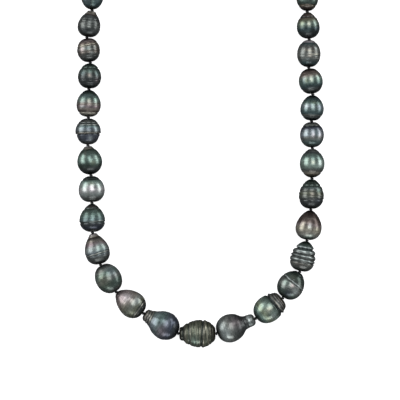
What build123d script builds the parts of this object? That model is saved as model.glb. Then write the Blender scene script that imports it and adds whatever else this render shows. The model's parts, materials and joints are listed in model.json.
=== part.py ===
from build123d import *

import math
import os
from collections import namedtuple

# A knotted strand of circled baroque pearls with a lobster clasp, laid flat and unhooked.
# Millimetres. +X is to the right, +Y is from the centre pearl to the clasp, +Z is up.
# The origin is the middle of the strand's outline on the surface that it lies on.

# ---------------------------------------------------------------- pearls and silk
CENTRE_DIAMETER = 11.0      # graduated size at the centre pearl
END_DIAMETER = 8.3          # graduated size at the pearls next to the clasp
THREAD_DIAMETER = 0.8
THREAD_CLEARANCE = 0.1      # radial, in the drilled hole along each pearl
DRILL_RIM = 0.15            # flat ring round the mouth of the hole
KNOT_GAP = 0.7              # from one pearl's end to the next
KNOT_DIAMETER = 1.5
KNOT_CLEARANCE = 0.1        # from a knot to the pearl on each side
KNOT_ROUNDING = 0.4         # of its edges, as a share of its width
OUTLINE_STEPS = 44          # points along a pearl's outline
GROOVE_FADE = 1.5           # grooves are shallower where the pearl is under this share of its width

# One pearl: its size over the graduated size, its length over its own diameter, how its two
# ends close (0.5 is a ball's end, less is blunter, more is pointed), and its circling grooves,
# each with its place (-1 is the near end, +1 the far end), its depth in mm and its spread.
# The near end faces the centre pearl. The lean is the way its far end points, in degrees up
# from the centre pearl's own axis.
Pearl = namedtuple("Pearl", "fullness slenderness near_end far_end grooves lean")

CENTRE_GROOVES = ((-0.80, 0.30, 0.06), (-0.47, 0.25, 0.06), (0.25, 0.40, 0.06))
CENTRE_PEARL = Pearl(1.00, 1.31, 0.66, 0.50, CENTRE_GROOVES, 0)

LEFT_PEARLS = (
    Pearl(1.00, 1.41, 0.54, 0.85, ((0.62, 0.25, 0.05), (0.76, 0.20, 0.04)), 30),
    Pearl(0.99, 1.23, 0.50, 0.75, ((-0.62, 0.12, 0.04), (-0.76, 0.12, 0.04)), 38),
    Pearl(0.99, 1.13, 0.50, 0.52, (), 60),
    Pearl(0.96, 1.24, 0.50, 0.80, ((-0.25, 0.15, 0.04), (-0.38, 0.15, 0.04)), 76),
    Pearl(1.00, 1.09, 0.52, 0.68, ((-0.33, 0.30, 0.05), (0.66, 0.20, 0.05)), 89),
    Pearl(1.03, 0.99, 0.44, 0.52, ((0.74, 0.20, 0.05),), 88),
    Pearl(1.00, 1.13, 0.60, 0.78, ((0.78, 0.15, 0.04),), 84),
    Pearl(1.03, 1.02, 0.52, 0.52, ((-0.22, 0.30, 0.06), (0.62, 0.12, 0.05)), 91),
    Pearl(1.00, 1.10, 0.46, 0.72, ((-0.68, 0.20, 0.05),), 91),
    Pearl(0.98, 1.06, 0.50, 0.60, ((0.60, 0.20, 0.06),), 93),
    Pearl(0.98, 1.02, 0.50, 0.50, ((0.50, 0.08, 0.05),), 82),
    Pearl(0.99, 1.14, 0.50, 0.80, ((0.70, 0.15, 0.05),), 101),
    Pearl(0.99, 1.09, 0.58, 0.50, (), 90),
    Pearl(1.01, 1.06, 0.50, 0.55, ((0.40, 0.12, 0.05),), 96),
    Pearl(0.99, 1.10, 0.50, 0.66, ((-0.30, 0.15, 0.05),), 108),
    Pearl(1.00, 1.04, 0.50, 0.50, (), 123),
    Pearl(1.02, 1.08, 0.52, 0.62, ((0.62, 0.15, 0.05),), 139),
    Pearl(1.00, 1.05, 0.50, 0.54, (), 155),
)

RIGHT_PEARLS = (
    Pearl(1.00, 1.47, 0.48, 0.95, ((0.60, 0.20, 0.05), (0.74, 0.20, 0.04)), 21),
    Pearl(1.00, 1.20, 0.50, 0.60, ((0.42, 0.35, 0.06), (0.66, 0.15, 0.04)), 37),
    Pearl(0.99, 1.12, 0.50, 0.62, ((0.00, 0.12, 0.04),), 57),
    Pearl(0.96, 1.20, 0.42, 0.68, ((0.52, 0.45, 0.06), (0.12, 0.18, 0.05), (-0.20, 0.18, 0.05)), 77),
    Pearl(1.01, 1.13, 0.50, 0.74, (), 83),
    Pearl(0.99, 1.17, 0.50, 0.72, ((0.55, 0.25, 0.06), (0.20, 0.15, 0.05), (-0.40, 0.15, 0.05)), 88),
    Pearl(0.99, 1.15, 0.62, 0.60, ((0.74, 0.15, 0.04),), 89),
    Pearl(0.97, 1.05, 0.50, 0.56, ((0.66, 0.15, 0.05),), 92),
    Pearl(0.96, 1.08, 0.52, 0.64, ((-0.70, 0.15, 0.05),), 87),
    Pearl(1.00, 1.05, 0.50, 0.52, (), 99),
    Pearl(1.00, 1.14, 0.50, 0.64, ((0.76, 0.15, 0.05),), 89),
    Pearl(0.99, 1.13, 0.52, 0.72, ((0.60, 0.12, 0.05),), 94),
    Pearl(0.97, 1.12, 0.56, 0.50, ((-0.60, 0.15, 0.05),), 89),
    Pearl(1.00, 1.06, 0.50, 0.58, (), 96),
    Pearl(1.01, 1.08, 0.50, 0.62, ((0.30, 0.15, 0.05),), 108),
    Pearl(0.99, 1.05, 0.52, 0.52, (), 123),
    Pearl(1.00, 1.09, 0.50, 0.60, ((-0.40, 0.12, 0.05),), 139),
    Pearl(1.00, 1.04, 0.50, 0.54, (), 155),
)

# ---------------------------------------------------------------- clasp
GIMP_DIAMETER = 0.7         # wire-covered loop of silk at each end of the strand
GIMP_BEND_RADIUS = 1.2      # of the loop's centre line round the jump ring
GIMP_LENGTH = 3.4           # along the sloping loop, from the end knot to the bend's centre
JUMP_RING_WIRE = 0.8
JUMP_RING_INNER_DIAMETER = 3.4
LINK_CLEARANCE = 0.15       # between two linked wires
EYE_PLAY = 1.6              # of a jump ring's wire in an eye
EYE_WALL = 0.9
EYE_THICKNESS = 0.9
EYE_ROUNDING = 0.27         # of an eye's edges
CATCH_LIFT = 0.25           # from the jump ring's lowest wire up to the catch ring's eye
UNHOOKED_GAP = 3.8          # between the lobster's tip and the catch ring, across the strand

CATCH_INNER_DIAMETER = 4.6  # eye that the claw hooks into
CATCH_WALL = 1.2

CLAW_LENGTH = 7.8
CLAW_WIDTH = 6.2
CLAW_THICKNESS = 3.0
CLAW_OPENING_LENGTH = 4.8
CLAW_OPENING_WIDTH = 3.5
CLAW_EDGE = 0.6             # rounding of the claw's top and bottom edges
NECK_WIDTH = 2.6            # of the claw where it joins its eye
NECK_THICKNESS = 2.0
NECK_EDGE = 0.5
LEVER_THICKNESS = 1.4
LEVER_CLEARANCE = 0.1
LEVER_BOSS_RADIUS = 0.95
LEVER_TIP_RADIUS = 0.35
LEVER_WAIST_RADIUS = 0.56
TAB_LENGTH = 2.4            # from the pin to the end of the thumb tab
TAB_HEADING = -125          # degrees, from the claw's length
TAB_ROOT_RADIUS = 0.57
TAB_ROOM_RADIUS = 2.19      # slot that the tab swings in, round the pin
TAB_ROOM_BACK = 1.95        # from the pin to the slot's back wall
POCKET_CLEARANCE = 0.2      # radial, round the lever's boss
CUT_OVERLAP = 0.2           # the slots and the gate run this far past the claw's middle or the pin
LEVER_TRAVEL = 25           # degrees, into the claw's opening
PIN_DIAMETER = 0.8
PIN_PRESS_CLEARANCE = 0.01  # radial, in the claw
PIN_RUNNING_CLEARANCE = 0.05
SPRING_THICKNESS = 0.2
SPRING_RISE = 2.0           # from the pin to the leaf's fixed end
SPRING_BOW = 0.65           # of the leaf's elbow
SPRING_ELBOW_RISE = 1.6
SPRING_RECESS = Vector(1.05, 1.35)      # room for the leaf in the casing
SPRING_RECESS_PLACE = Vector(0.15, 0.8)     # its lower inner corner, from the pin

# Places on the claw from its middle, in shares of its length and its width.
PIVOT_SHARES = Vector(-0.31, -0.2)
WAIST_SHARES = Vector(0.03, -0.335)
TIP_SHARES = Vector(0.245, -0.1)
GATE_END_SHARE = 0.26
OPENING_SHARE = 0.04
ARM_ROOM_SHARE = 0.3

# How far each joint goes, in degrees. A knot lets the strand straighten, and bend a little past
# straight.
BEND_PAST_STRAIGHT = 7
RING_SWING = 20             # a jump ring on its loop, either way
CLASP_SWING = 35            # the lobster or the catch ring on its jump ring, either way

drill_radius = THREAD_DIAMETER / 2 + THREAD_CLEARANCE
rim_radius = drill_radius + DRILL_RIM
SIDE_COUNT = len(LEFT_PEARLS)
CENTRE_NUMBER = SIDE_COUNT + 1


# ---------------------------------------------------------------- one pearl
def graduated_diameter(step):
    """Falls evenly from the centre pearl to the pearl next to the clasp."""
    return CENTRE_DIAMETER + (END_DIAMETER - CENTRE_DIAMETER) * step / SIDE_COUNT


def outline_radius(pearl, radius, place):
    """Two power curves that meet at the widest place, less a bell-shaped dip for each groove."""
    near, far = pearl.near_end, pearl.far_end
    widest = (near - far) / (near + far)
    share = ((1 + place) / (1 + widest)) ** near * ((1 - place) / (1 - widest)) ** far
    dip = sum(depth * math.exp(-(((place - at) / spread) ** 2)) for at, depth, spread in pearl.grooves)
    fade = min(1.0, share * GROOVE_FADE)
    return rim_radius + (radius - rim_radius) * share - dip * fade


def make_pearl(pearl, radius, length):
    """A turned solid along X, drilled through, with its middle at the origin."""
    outline = []
    for step in range(OUTLINE_STEPS + 1):
        place = -math.cos(math.pi * step / OUTLINE_STEPS)
        if step == 0:
            outline.append((-length / 2, rim_radius))
        elif step == OUTLINE_STEPS:
            outline.append((length / 2, rim_radius))
        else:
            outline.append((place * length / 2, outline_radius(pearl, radius, place)))
    edge = Spline(*outline)
    bore = ((length / 2, drill_radius), (-length / 2, drill_radius))
    walls = Polyline(outline[-1], *bore, outline[0])
    return revolve(make_face([edge, walls]), axis=Axis.X)


# ---------------------------------------------------------------- laying the strand out
Placed = namedtuple("Placed", "number pearl radius length middle heading")
Knot = namedtuple("Knot", "inner outer point heading rest_bend")


def direction(heading):
    return Vector(math.cos(math.radians(heading)), math.sin(math.radians(heading)), 0)


def lay_side(pearls, side):
    """Walks outwards from the centre pearl: pearl, half a gap, knot, half a gap, pearl.
    side is -1 on the left and +1 on the right. Returns the pearls, the knots and the end."""
    placed = []
    knots = []
    half_centre = centre_length / 2
    point = Vector(side * (half_centre + KNOT_GAP / 2), 0, 0)
    lean = CENTRE_PEARL.lean
    radius = centre_radius
    for step, pearl in enumerate(pearls, start=1):
        number = CENTRE_NUMBER + side * step
        next_radius = graduated_diameter(step) * pearl.fullness / 2
        length = 2 * next_radius * pearl.slenderness
        heading = pearl.lean if side > 0 else 180 - pearl.lean
        middle_heading = (pearl.lean + lean) / 2
        knot_heading = middle_heading if side > 0 else 180 - middle_heading
        knot_point = Vector(point.X, point.Y, (radius + next_radius) / 2)
        knots.append(Knot(number - side, number, knot_point, knot_heading, pearl.lean - lean))
        half_step = direction(heading) * (KNOT_GAP / 2 + length / 2)
        middle = Vector(point.X, point.Y, next_radius) + half_step
        placed.append(Placed(number, pearl, next_radius, length, middle, heading))
        point = middle + half_step
        lean = pearl.lean
        radius = next_radius
    return placed, knots, Vector(point.X, point.Y, radius)


centre_radius = CENTRE_DIAMETER * CENTRE_PEARL.fullness / 2
centre_length = 2 * centre_radius * CENTRE_PEARL.slenderness
left_placed, left_knots, left_end = lay_side(LEFT_PEARLS, -1)
right_placed, right_knots, right_end = lay_side(RIGHT_PEARLS, 1)
centre_middle = Vector(0, 0, centre_radius)
centre_placed = Placed(CENTRE_NUMBER, CENTRE_PEARL, centre_radius, centre_length, centre_middle, 0)
placed_pearls = [centre_placed] + left_placed + right_placed
placed_knots = left_knots + right_knots


def pose(point, heading):
    """A place on the strand: X along the heading, Z up."""
    return Location(Plane(origin=point, x_dir=direction(heading), z_dir=(0, 0, 1)))


# ---------------------------------------------------------------- silk
def make_knot():
    """A flat bead of silk along X with round edges."""
    width = KNOT_GAP - 2 * KNOT_CLEARANCE
    bead = Cylinder(KNOT_DIAMETER / 2, width, rotation=(0, 90, 0))
    return fillet(bead.edges().filter_by(GeomType.CIRCLE), width * KNOT_ROUNDING)


def make_thread():
    """One straight run through each pearl, joined by the knots between them."""
    pieces = []
    for placed in placed_pearls:
        run = Cylinder(THREAD_DIAMETER / 2, placed.length + KNOT_GAP, rotation=(0, 90, 0))
        pieces.append(pose(placed.middle, placed.heading) * run)
    for knot in placed_knots:
        pieces.append(pose(knot.point, knot.heading) * make_knot())
    for point, last in ((left_end, left_placed[-1]), (right_end, right_placed[-1])):
        pieces.append(pose(point, last.heading) * make_knot())
    return pieces[0].fuse(*pieces[1:])


# ---------------------------------------------------------------- clasp, each side from its end knot
# Both sides are made along X from the end knot's middle, which stands above the origin, and are
# then turned and moved to their end of the strand. The last pearls have the end diameter.
gimp_radius = GIMP_DIAMETER / 2
ring_wire_radius = JUMP_RING_WIRE / 2
ring_radius = (JUMP_RING_INNER_DIAMETER + JUMP_RING_WIRE) / 2
eye_inner_radius = (JUMP_RING_WIRE + EYE_PLAY) / 2
ring_height = ring_radius + ring_wire_radius
end_height = END_DIAMETER / 2
gimp_reach = GIMP_LENGTH + GIMP_BEND_RADIUS
gimp_slope = math.asin((end_height - ring_height) / gimp_reach)
gimp_bend_x = GIMP_LENGTH * math.cos(gimp_slope)
ring_x = gimp_reach * math.cos(gimp_slope) + ring_radius - ring_wire_radius - gimp_radius - LINK_CLEARANCE
eye_height = CLAW_THICKNESS / 2
eye_x = ring_x + eye_inner_radius + EYE_WALL / 2
eye_outer_radius = eye_inner_radius + EYE_WALL


def make_gimp():
    """A narrow loop of covered silk that slopes from the end knot down to its jump ring. Its two
    legs spread from the knot, and start where they are clear of each other."""
    spread = math.asin(GIMP_BEND_RADIUS / GIMP_LENGTH)
    leg = GIMP_LENGTH * math.cos(spread)
    start = (gimp_radius + LINK_CLEARANCE / 2) / math.sin(spread)
    upper_start = Vector(start * math.cos(spread), start * math.sin(spread))
    upper_end = Vector(leg * math.cos(spread), leg * math.sin(spread))
    lower_start = Vector(upper_start.X, -upper_start.Y)
    lower_end = Vector(upper_end.X, -upper_end.Y)
    far = Vector(GIMP_LENGTH + GIMP_BEND_RADIUS, 0)
    path = Wire([
        Line(upper_start, upper_end).edge(),
        ThreePointArc(upper_end, far, lower_end).edge(),
        Line(lower_end, lower_start).edge(),
    ])
    section = Plane(origin=path @ 0, z_dir=path % 0) * Circle(gimp_radius)
    loop = sweep(section, path=path)
    return Location((0, 0, end_height), (0, math.degrees(gimp_slope), 0)) * loop


def make_jump_ring():
    return Location((ring_x, 0, ring_height), (90, 0, 0)) * Torus(ring_radius, ring_wire_radius)


def make_eye():
    """A flat round eye with softened edges, half way up the claw."""
    ring = Circle(eye_outer_radius) - Circle(eye_inner_radius)
    eye = extrude(ring, EYE_THICKNESS / 2, both=True)
    return Location((eye_x, 0, eye_height)) * fillet(eye.edges(), EYE_ROUNDING)


claw_x = eye_x + eye_outer_radius - EYE_WALL / 2 + CLAW_LENGTH / 2
claw_tip_x = claw_x + CLAW_LENGTH / 2
slot_height = LEVER_THICKNESS + 2 * LEVER_CLEARANCE


def on_claw(shares):
    return Vector(claw_x + CLAW_LENGTH * shares.X, CLAW_WIDTH * shares.Y)


pivot = on_claw(PIVOT_SHARES)
half_way_up = Location((pivot.X, pivot.Y, CLAW_THICKNESS / 2))


def make_lobster_body():
    """A hooked casing: an oval with an oval opening, cut away where the lever closes it."""
    outer = extrude(Ellipse(CLAW_LENGTH / 2, CLAW_WIDTH / 2), CLAW_THICKNESS)
    outer = Location((claw_x, 0, 0)) * fillet(outer.edges(), CLAW_EDGE)
    neck_start_x = eye_x + eye_inner_radius + EYE_WALL / 2
    from_start = (Align.MIN, Align.CENTER, Align.CENTER)
    neck = Box(claw_x - neck_start_x, NECK_WIDTH, NECK_THICKNESS, align=from_start)
    neck = fillet(neck.edges().filter_by(Axis.X), NECK_EDGE)
    body = outer + Location((neck_start_x, 0, eye_height)) * neck + make_eye()
    opening = extrude(Ellipse(CLAW_OPENING_LENGTH / 2, CLAW_OPENING_WIDTH / 2), CLAW_THICKNESS)
    body -= Location((claw_x + CLAW_LENGTH * OPENING_SHARE, 0, 0)) * opening
    gate_start_x = pivot.X + LEVER_BOSS_RADIUS
    gate_length = claw_x + CLAW_LENGTH * GATE_END_SHARE - gate_start_x
    gate = Box(gate_length, CLAW_WIDTH / 2, CLAW_THICKNESS, align=(Align.MIN, Align.MAX, Align.MIN))
    body -= Location((gate_start_x, -CUT_OVERLAP, 0)) * gate
    body -= half_way_up * make_lever_slot()
    pin_hole = Cylinder(PIN_DIAMETER / 2 + PIN_PRESS_CLEARANCE, CLAW_THICKNESS * 2)
    return body - half_way_up * pin_hole


def make_lever_slot():
    """The room inside the casing for the lever's boss, arm and tab, and for its spring. The pin
    is at the origin."""
    pocket_radius = LEVER_BOSS_RADIUS + POCKET_CLEARANCE
    pocket = Cylinder(pocket_radius, slot_height)
    from_pin = (Align.MIN, Align.CENTER, Align.CENTER)
    arm_room = Box(CLAW_LENGTH * ARM_ROOM_SHARE, pocket_radius * 2, slot_height, align=from_pin)
    below_pin = (Align.MIN, Align.MAX, Align.CENTER)
    mouth = Box(CLAW_LENGTH, CLAW_WIDTH, slot_height, align=below_pin)
    tab_room = Location((-TAB_ROOM_BACK, CUT_OVERLAP, 0)) * mouth & Cylinder(TAB_ROOM_RADIUS, slot_height)
    above_corner = (Align.MAX, Align.MIN, Align.CENTER)
    recess = Box(SPRING_RECESS.X, SPRING_RECESS.Y, slot_height, align=above_corner)
    return pocket + arm_room + tab_room + Location(SPRING_RECESS_PLACE) * recess


def tapered_link(start, start_radius, end, end_radius):
    """Two discs and the straight sides between them, flat in the table plane."""
    discs = Location(start) * Circle(start_radius) + Location(end) * Circle(end_radius)
    return make_hull(discs.edges())


def make_lobster_lever():
    """The gate: a boss on the pin, an arm to the hook's tip and a thumb tab."""
    waist = on_claw(WAIST_SHARES)
    tip = on_claw(TIP_SHARES)
    tab_end = pivot + direction(TAB_HEADING) * TAB_LENGTH
    outline = tapered_link(pivot, LEVER_BOSS_RADIUS, waist, LEVER_WAIST_RADIUS)
    outline += tapered_link(waist, LEVER_WAIST_RADIUS, tip, LEVER_TIP_RADIUS)
    outline += tapered_link(pivot, TAB_ROOT_RADIUS, tab_end, LEVER_TIP_RADIUS)
    lever = extrude(outline, LEVER_THICKNESS)
    lever = Location((0, 0, (CLAW_THICKNESS - LEVER_THICKNESS) / 2)) * lever
    hole = Cylinder(PIN_DIAMETER / 2 + PIN_RUNNING_CLEARANCE, CLAW_THICKNESS * 2)
    return lever - half_way_up * hole


def make_lobster_pin():
    return half_way_up * Cylinder(PIN_DIAMETER / 2, CLAW_THICKNESS)


def make_lobster_spring():
    """A bent leaf in the casing that pushes on the lever's boss."""
    foot = (-CUT_OVERLAP / 4, LEVER_BOSS_RADIUS + SPRING_THICKNESS)
    line = Polyline((0, SPRING_RISE), (-SPRING_BOW, SPRING_ELBOW_RISE), foot)
    leaf = extrude(trace(line, line_width=SPRING_THICKNESS), LEVER_THICKNESS)
    return Location((pivot.X, pivot.Y, (CLAW_THICKNESS - LEVER_THICKNESS) / 2)) * leaf


def make_catch_ring():
    """A figure of eight: a small eye on the jump ring and a large one for the claw. It leans
    from the jump ring down to the table."""
    big_radius = CATCH_INNER_DIAMETER / 2 + CATCH_WALL
    outline = Circle(eye_outer_radius) + Location((catch_span, 0)) * Circle(big_radius)
    outline -= Circle(eye_inner_radius)
    outline -= Location((catch_span, 0)) * Circle(CATCH_INNER_DIAMETER / 2)
    ring = extrude(outline, EYE_THICKNESS / 2, both=True)
    faces = ring.faces().sort_by(Axis.Z)
    ring = fillet(faces[0].outer_wire().edges() + faces[-1].outer_wire().edges(), EYE_ROUNDING)
    return catch_place * ring


catch_span = eye_inner_radius + CATCH_WALL + CATCH_INNER_DIAMETER / 2
catch_reach = eye_x - ring_x + catch_span + CATCH_INNER_DIAMETER / 2 + CATCH_WALL
catch_height = JUMP_RING_WIRE + CATCH_LIFT + EYE_THICKNESS / 2
catch_drop = catch_height - EYE_THICKNESS / 2
catch_slope = math.degrees(math.asin(catch_drop / (catch_reach - EYE_THICKNESS / 2)))
catch_place = Location((ring_x, 0, catch_height), (0, catch_slope, 0)) * Location((eye_x - ring_x, 0, 0))

# ---------------------------------------------------------------- the whole necklace
# The clasp parts point towards each other, and lean up just enough to leave the unhooked gap.
clasp_room = right_end.X - left_end.X - UNHOOKED_GAP
clasp_reach = claw_tip_x + ring_x + catch_reach
left_heading = math.degrees(math.acos(min(1.0, clasp_room / clasp_reach)))
right_heading = 180 - left_heading
left_clasp = pose(Vector(left_end.X, left_end.Y, 0), left_heading)
right_clasp = pose(Vector(right_end.X, right_end.Y, 0), right_heading)

solids = {}
for placed in placed_pearls:
    pearl_solid = make_pearl(placed.pearl, placed.radius, placed.length)
    solids[f"pearl_{placed.number:02d}"] = pose(placed.middle, placed.heading) * pearl_solid
solids["silk_thread"] = make_thread()
solids["left_gimp_loop"] = left_clasp * make_gimp()
solids["right_gimp_loop"] = right_clasp * make_gimp()
solids["left_jump_ring"] = left_clasp * make_jump_ring()
solids["right_jump_ring"] = right_clasp * make_jump_ring()
solids["lobster_body"] = left_clasp * make_lobster_body()
solids["lobster_lever"] = left_clasp * make_lobster_lever()
solids["lobster_pin"] = left_clasp * make_lobster_pin()
solids["lobster_spring"] = left_clasp * make_lobster_spring()
solids["catch_ring"] = right_clasp * make_catch_ring()

# The middle of the outline goes to the origin.
outline_box = Compound(list(solids.values())).bounding_box()
centring = Location((-outline_box.center().X, -outline_box.center().Y, -outline_box.min.Z))

# ---------------------------------------------------------------- the hinges
# Each has its name, the body that it hangs on, the body that turns, its point, its axis and its
# limits in degrees. A turn is positive outwards on both sides.
Hinge = namedtuple("Hinge", "name parent child point axis low high")
UP = Vector(0, 0, 1)
DOWN = Vector(0, 0, -1)


def knot_hinges(knots, axis):
    """One hinge for each knot between two pearls, from the centre pearl outwards."""
    hinges = []
    for knot in knots:
        first, second = sorted((knot.inner, knot.outer))
        name = f"knot_{first:02d}_{second:02d}"
        high = max(knot.rest_bend, 0) + BEND_PAST_STRAIGHT
        parent, child = f"pearl_{knot.inner:02d}", f"pearl_{knot.outer:02d}"
        hinges.append(Hinge(name, parent, child, knot.point, axis, 0, high))
    return hinges


left_ring_point = (left_clasp * Location((gimp_bend_x, 0, ring_height))).position
right_ring_point = (right_clasp * Location((gimp_bend_x, 0, ring_height))).position
lobster_point = (left_clasp * Location((eye_x, 0, eye_height))).position
lever_point = (left_clasp * half_way_up).position
catch_plane = Plane(right_clasp * catch_place)
last_pearl = f"pearl_{right_placed[-1].number:02d}"
hinges = knot_hinges(left_knots, UP) + knot_hinges(right_knots, DOWN) + [
    Hinge("left_jump_ring_swing", "pearl_01", "left_jump_ring", left_ring_point, UP,
          -RING_SWING, RING_SWING),
    Hinge("lobster_swing", "left_jump_ring", "lobster", lobster_point, UP, -CLASP_SWING, CLASP_SWING),
    Hinge("lobster_lever_hinge", "lobster", "lobster_lever", lever_point, UP, 0, LEVER_TRAVEL),
    Hinge("right_jump_ring_swing", last_pearl, "right_jump_ring", right_ring_point, DOWN,
          -RING_SWING, RING_SWING),
    Hinge("catch_ring_swing", "right_jump_ring", "catch_ring", catch_plane.origin, -catch_plane.z_dir,
          -CLASP_SWING, CLASP_SWING),
]

os.makedirs("parts", exist_ok=True)
for name, solid in solids.items():
    export_step(centring * solid, f"parts/{name}.step")
print("size", outline_box.size, "centring", centring.position)
for hinge in hinges:
    print(hinge.name, hinge.point + centring.position, hinge.low, hinge.high)
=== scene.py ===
"""A knotted strand of dark circled baroque pearls on black silk, with its clasp, dressed over the
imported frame. Everything is in metres, in the frame's own axes: +Z is up, and the strand lies on
the floor at Z = 0 with its centre pearl at the lowest Y."""

import json
import math
from collections import namedtuple

import bpy
import numpy as np
from bpy.props import FloatProperty, FloatVectorProperty, IntProperty, PointerProperty
from mathutils import Matrix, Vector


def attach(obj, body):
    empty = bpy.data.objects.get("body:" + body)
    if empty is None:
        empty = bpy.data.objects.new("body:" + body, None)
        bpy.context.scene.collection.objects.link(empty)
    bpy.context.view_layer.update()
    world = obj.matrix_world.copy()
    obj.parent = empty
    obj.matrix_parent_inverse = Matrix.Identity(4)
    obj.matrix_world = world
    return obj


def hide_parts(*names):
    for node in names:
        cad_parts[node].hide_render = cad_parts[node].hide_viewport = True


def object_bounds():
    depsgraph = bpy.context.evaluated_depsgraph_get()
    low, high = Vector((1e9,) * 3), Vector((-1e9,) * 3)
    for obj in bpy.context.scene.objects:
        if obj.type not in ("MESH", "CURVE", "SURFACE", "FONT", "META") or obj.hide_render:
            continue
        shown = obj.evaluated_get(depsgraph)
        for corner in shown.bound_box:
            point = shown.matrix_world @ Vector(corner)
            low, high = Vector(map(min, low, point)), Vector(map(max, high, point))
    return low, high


bl_info = {
    "name": "Knotted Baroque Pearl Strand",
    "version": (1, 0, 0),
    "blender": (4, 5, 0),
    "location": "View3D > Sidebar > Pearl Strand",
    "description": "Nacre, silk, gimp and silver for a knotted strand of circled baroque pearls",
    "category": "Object",
}

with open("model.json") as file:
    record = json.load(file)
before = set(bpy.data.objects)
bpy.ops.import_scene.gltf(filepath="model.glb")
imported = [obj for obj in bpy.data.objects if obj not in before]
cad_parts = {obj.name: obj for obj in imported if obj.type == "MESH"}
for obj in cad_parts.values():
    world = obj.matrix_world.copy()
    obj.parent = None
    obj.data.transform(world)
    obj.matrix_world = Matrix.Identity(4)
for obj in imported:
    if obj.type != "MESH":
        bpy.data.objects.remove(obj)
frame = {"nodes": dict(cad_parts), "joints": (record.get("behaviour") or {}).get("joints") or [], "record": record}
CAD_BOX = [[float(value) for value in corner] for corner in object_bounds()]

MM = 0.001
PEARL_COUNT = 37
CENTRE_NUMBER = 19
TURN = 2 * math.pi
UP = np.array((0.0, 0.0, 1.0))


# ---------------------------------------------------------------- settings
def tone(name, text, red, green, blue):
    return FloatVectorProperty(
        name=name, description=text, default=(red, green, blue), subtype="COLOR_GAMMA", min=0, max=1)


class NacreTones(bpy.types.PropertyGroup):
    """The tones that the pearls' bands, ring lines and blushes are made of, and their painted highlights and
    painted dark reflection streaks.
    """
    ink: tone("Ink", "Blue-black at the drill holes", 0.16, 0.19, 0.19)
    charcoal: tone("Charcoal", "Dark neutral grey", 0.25, 0.27, 0.27)
    bottle: tone("Bottle", "Very dark green", 0.22, 0.29, 0.26)
    pine: tone("Pine", "Dark green", 0.30, 0.37, 0.34)
    peacock: tone("Peacock", "Dark blue-green", 0.24, 0.34, 0.35)
    teal: tone("Teal", "Middle blue-green", 0.34, 0.43, 0.43)
    sea: tone("Sea", "Light blue-green", 0.43, 0.55, 0.51)
    mint: tone("Mint", "Pale green", 0.57, 0.67, 0.62)
    pistachio: tone("Pistachio", "Pale yellow-green", 0.55, 0.60, 0.48)
    moss: tone("Moss", "Middle yellow-green", 0.40, 0.42, 0.34)
    olive: tone("Olive", "Dark yellow-green", 0.33, 0.35, 0.27)
    steel: tone("Steel", "Light blue-grey", 0.43, 0.48, 0.51)
    slate: tone("Slate", "Middle blue-grey", 0.34, 0.37, 0.42)
    navy: tone("Navy", "Dark blue-grey", 0.20, 0.23, 0.29)
    gunmetal: tone("Gunmetal", "Middle neutral grey", 0.34, 0.36, 0.35)
    ash: tone("Ash", "Light neutral grey", 0.47, 0.49, 0.47)
    silver: tone("Silver", "Bright cool grey", 0.67, 0.72, 0.71)
    milk: tone("Milk", "Pinkish white", 0.80, 0.77, 0.79)
    cream: tone("Cream", "Yellowish white", 0.72, 0.70, 0.61)
    beige: tone("Beige", "Warm light grey", 0.58, 0.56, 0.51)
    taupe: tone("Taupe", "Warm middle grey", 0.50, 0.47, 0.43)
    rose: tone("Rose", "Pinkish grey", 0.63, 0.57, 0.56)
    mauve: tone("Mauve", "Purplish middle grey", 0.46, 0.40, 0.42)
    bronze: tone("Bronze", "Dark gold-brown", 0.43, 0.39, 0.32)
    umber: tone("Umber", "Dark brown", 0.30, 0.25, 0.23)
    depth: FloatProperty(
        name="Depth of colour", description="1 keeps the tones as they are, 0 makes them grey", default=0.8)


class StrandSizes(bpy.types.PropertyGroup):
    """Sizes of the silk and of the wire work, and how the pearls' surfaces roll."""
    thread: FloatProperty(
        name="Thread", description="Across the twisted silk", default=0.8 * MM, unit="LENGTH")
    thread_turn: FloatProperty(
        name="Silk twist", description="Length of one turn of the plies", default=1.5 * MM, unit="LENGTH")
    knot: FloatProperty(
        name="Knot", description="Across a knot", default=1.5 * MM, unit="LENGTH")
    knot_strand: FloatProperty(
        name="Knot strand", description="Across the strand that a knot is tied of",
        default=0.44 * MM, unit="LENGTH")
    gimp_pitch: FloatProperty(
        name="Gimp pitch", description="From one coil of the gimp's wire to the next",
        default=0.17 * MM, unit="LENGTH")
    ring_joint: FloatProperty(
        name="Ring joint", description="Open joint of a jump ring", default=0.05 * MM, unit="LENGTH")
    lump: FloatProperty(
        name="Lumps", description="How far a pearl's surface rolls in and out",
        default=0.09 * MM, unit="LENGTH")
    along_steps: IntProperty(name="Steps along", description="Faces along a pearl", default=120)
    round_steps: IntProperty(name="Steps round", description="Faces round a pearl", default=72)


class StageSettings(bpy.types.PropertyGroup):
    """The camera, the floor and the light tent."""
    view_width: FloatProperty(
        name="View width", description="Floor that the camera takes in", default=0.160, unit="LENGTH")
    view_margin: FloatProperty(
        name="Margin", description="Floor in view below the centre pearl", default=0.0215, unit="LENGTH")
    camera_height: FloatProperty(
        name="Camera height", description="From the floor to the camera", default=0.70, unit="LENGTH")
    floor: tone("Floor", "Pale floor", 0.97, 0.97, 0.97)
    floor_glow: FloatProperty(
        name="Floor glow", description="Light of its own that the floor shows the camera", default=0.7)
    left_light: FloatProperty(name="Left panel", description="Watts", default=2.9)
    top_light: FloatProperty(name="Top panel", description="Watts", default=4.8)
    right_light: FloatProperty(name="Right panel", description="Watts", default=1.9)
    front_light: FloatProperty(name="Front panel", description="Watts", default=1.5)
    room_light: FloatProperty(name="Room light", description="Strength of the room", default=0.34)


def linear(colour):
    """A screen colour's values as light."""
    return ((np.array(colour) + 0.055) / 1.055) ** 2.4


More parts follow.
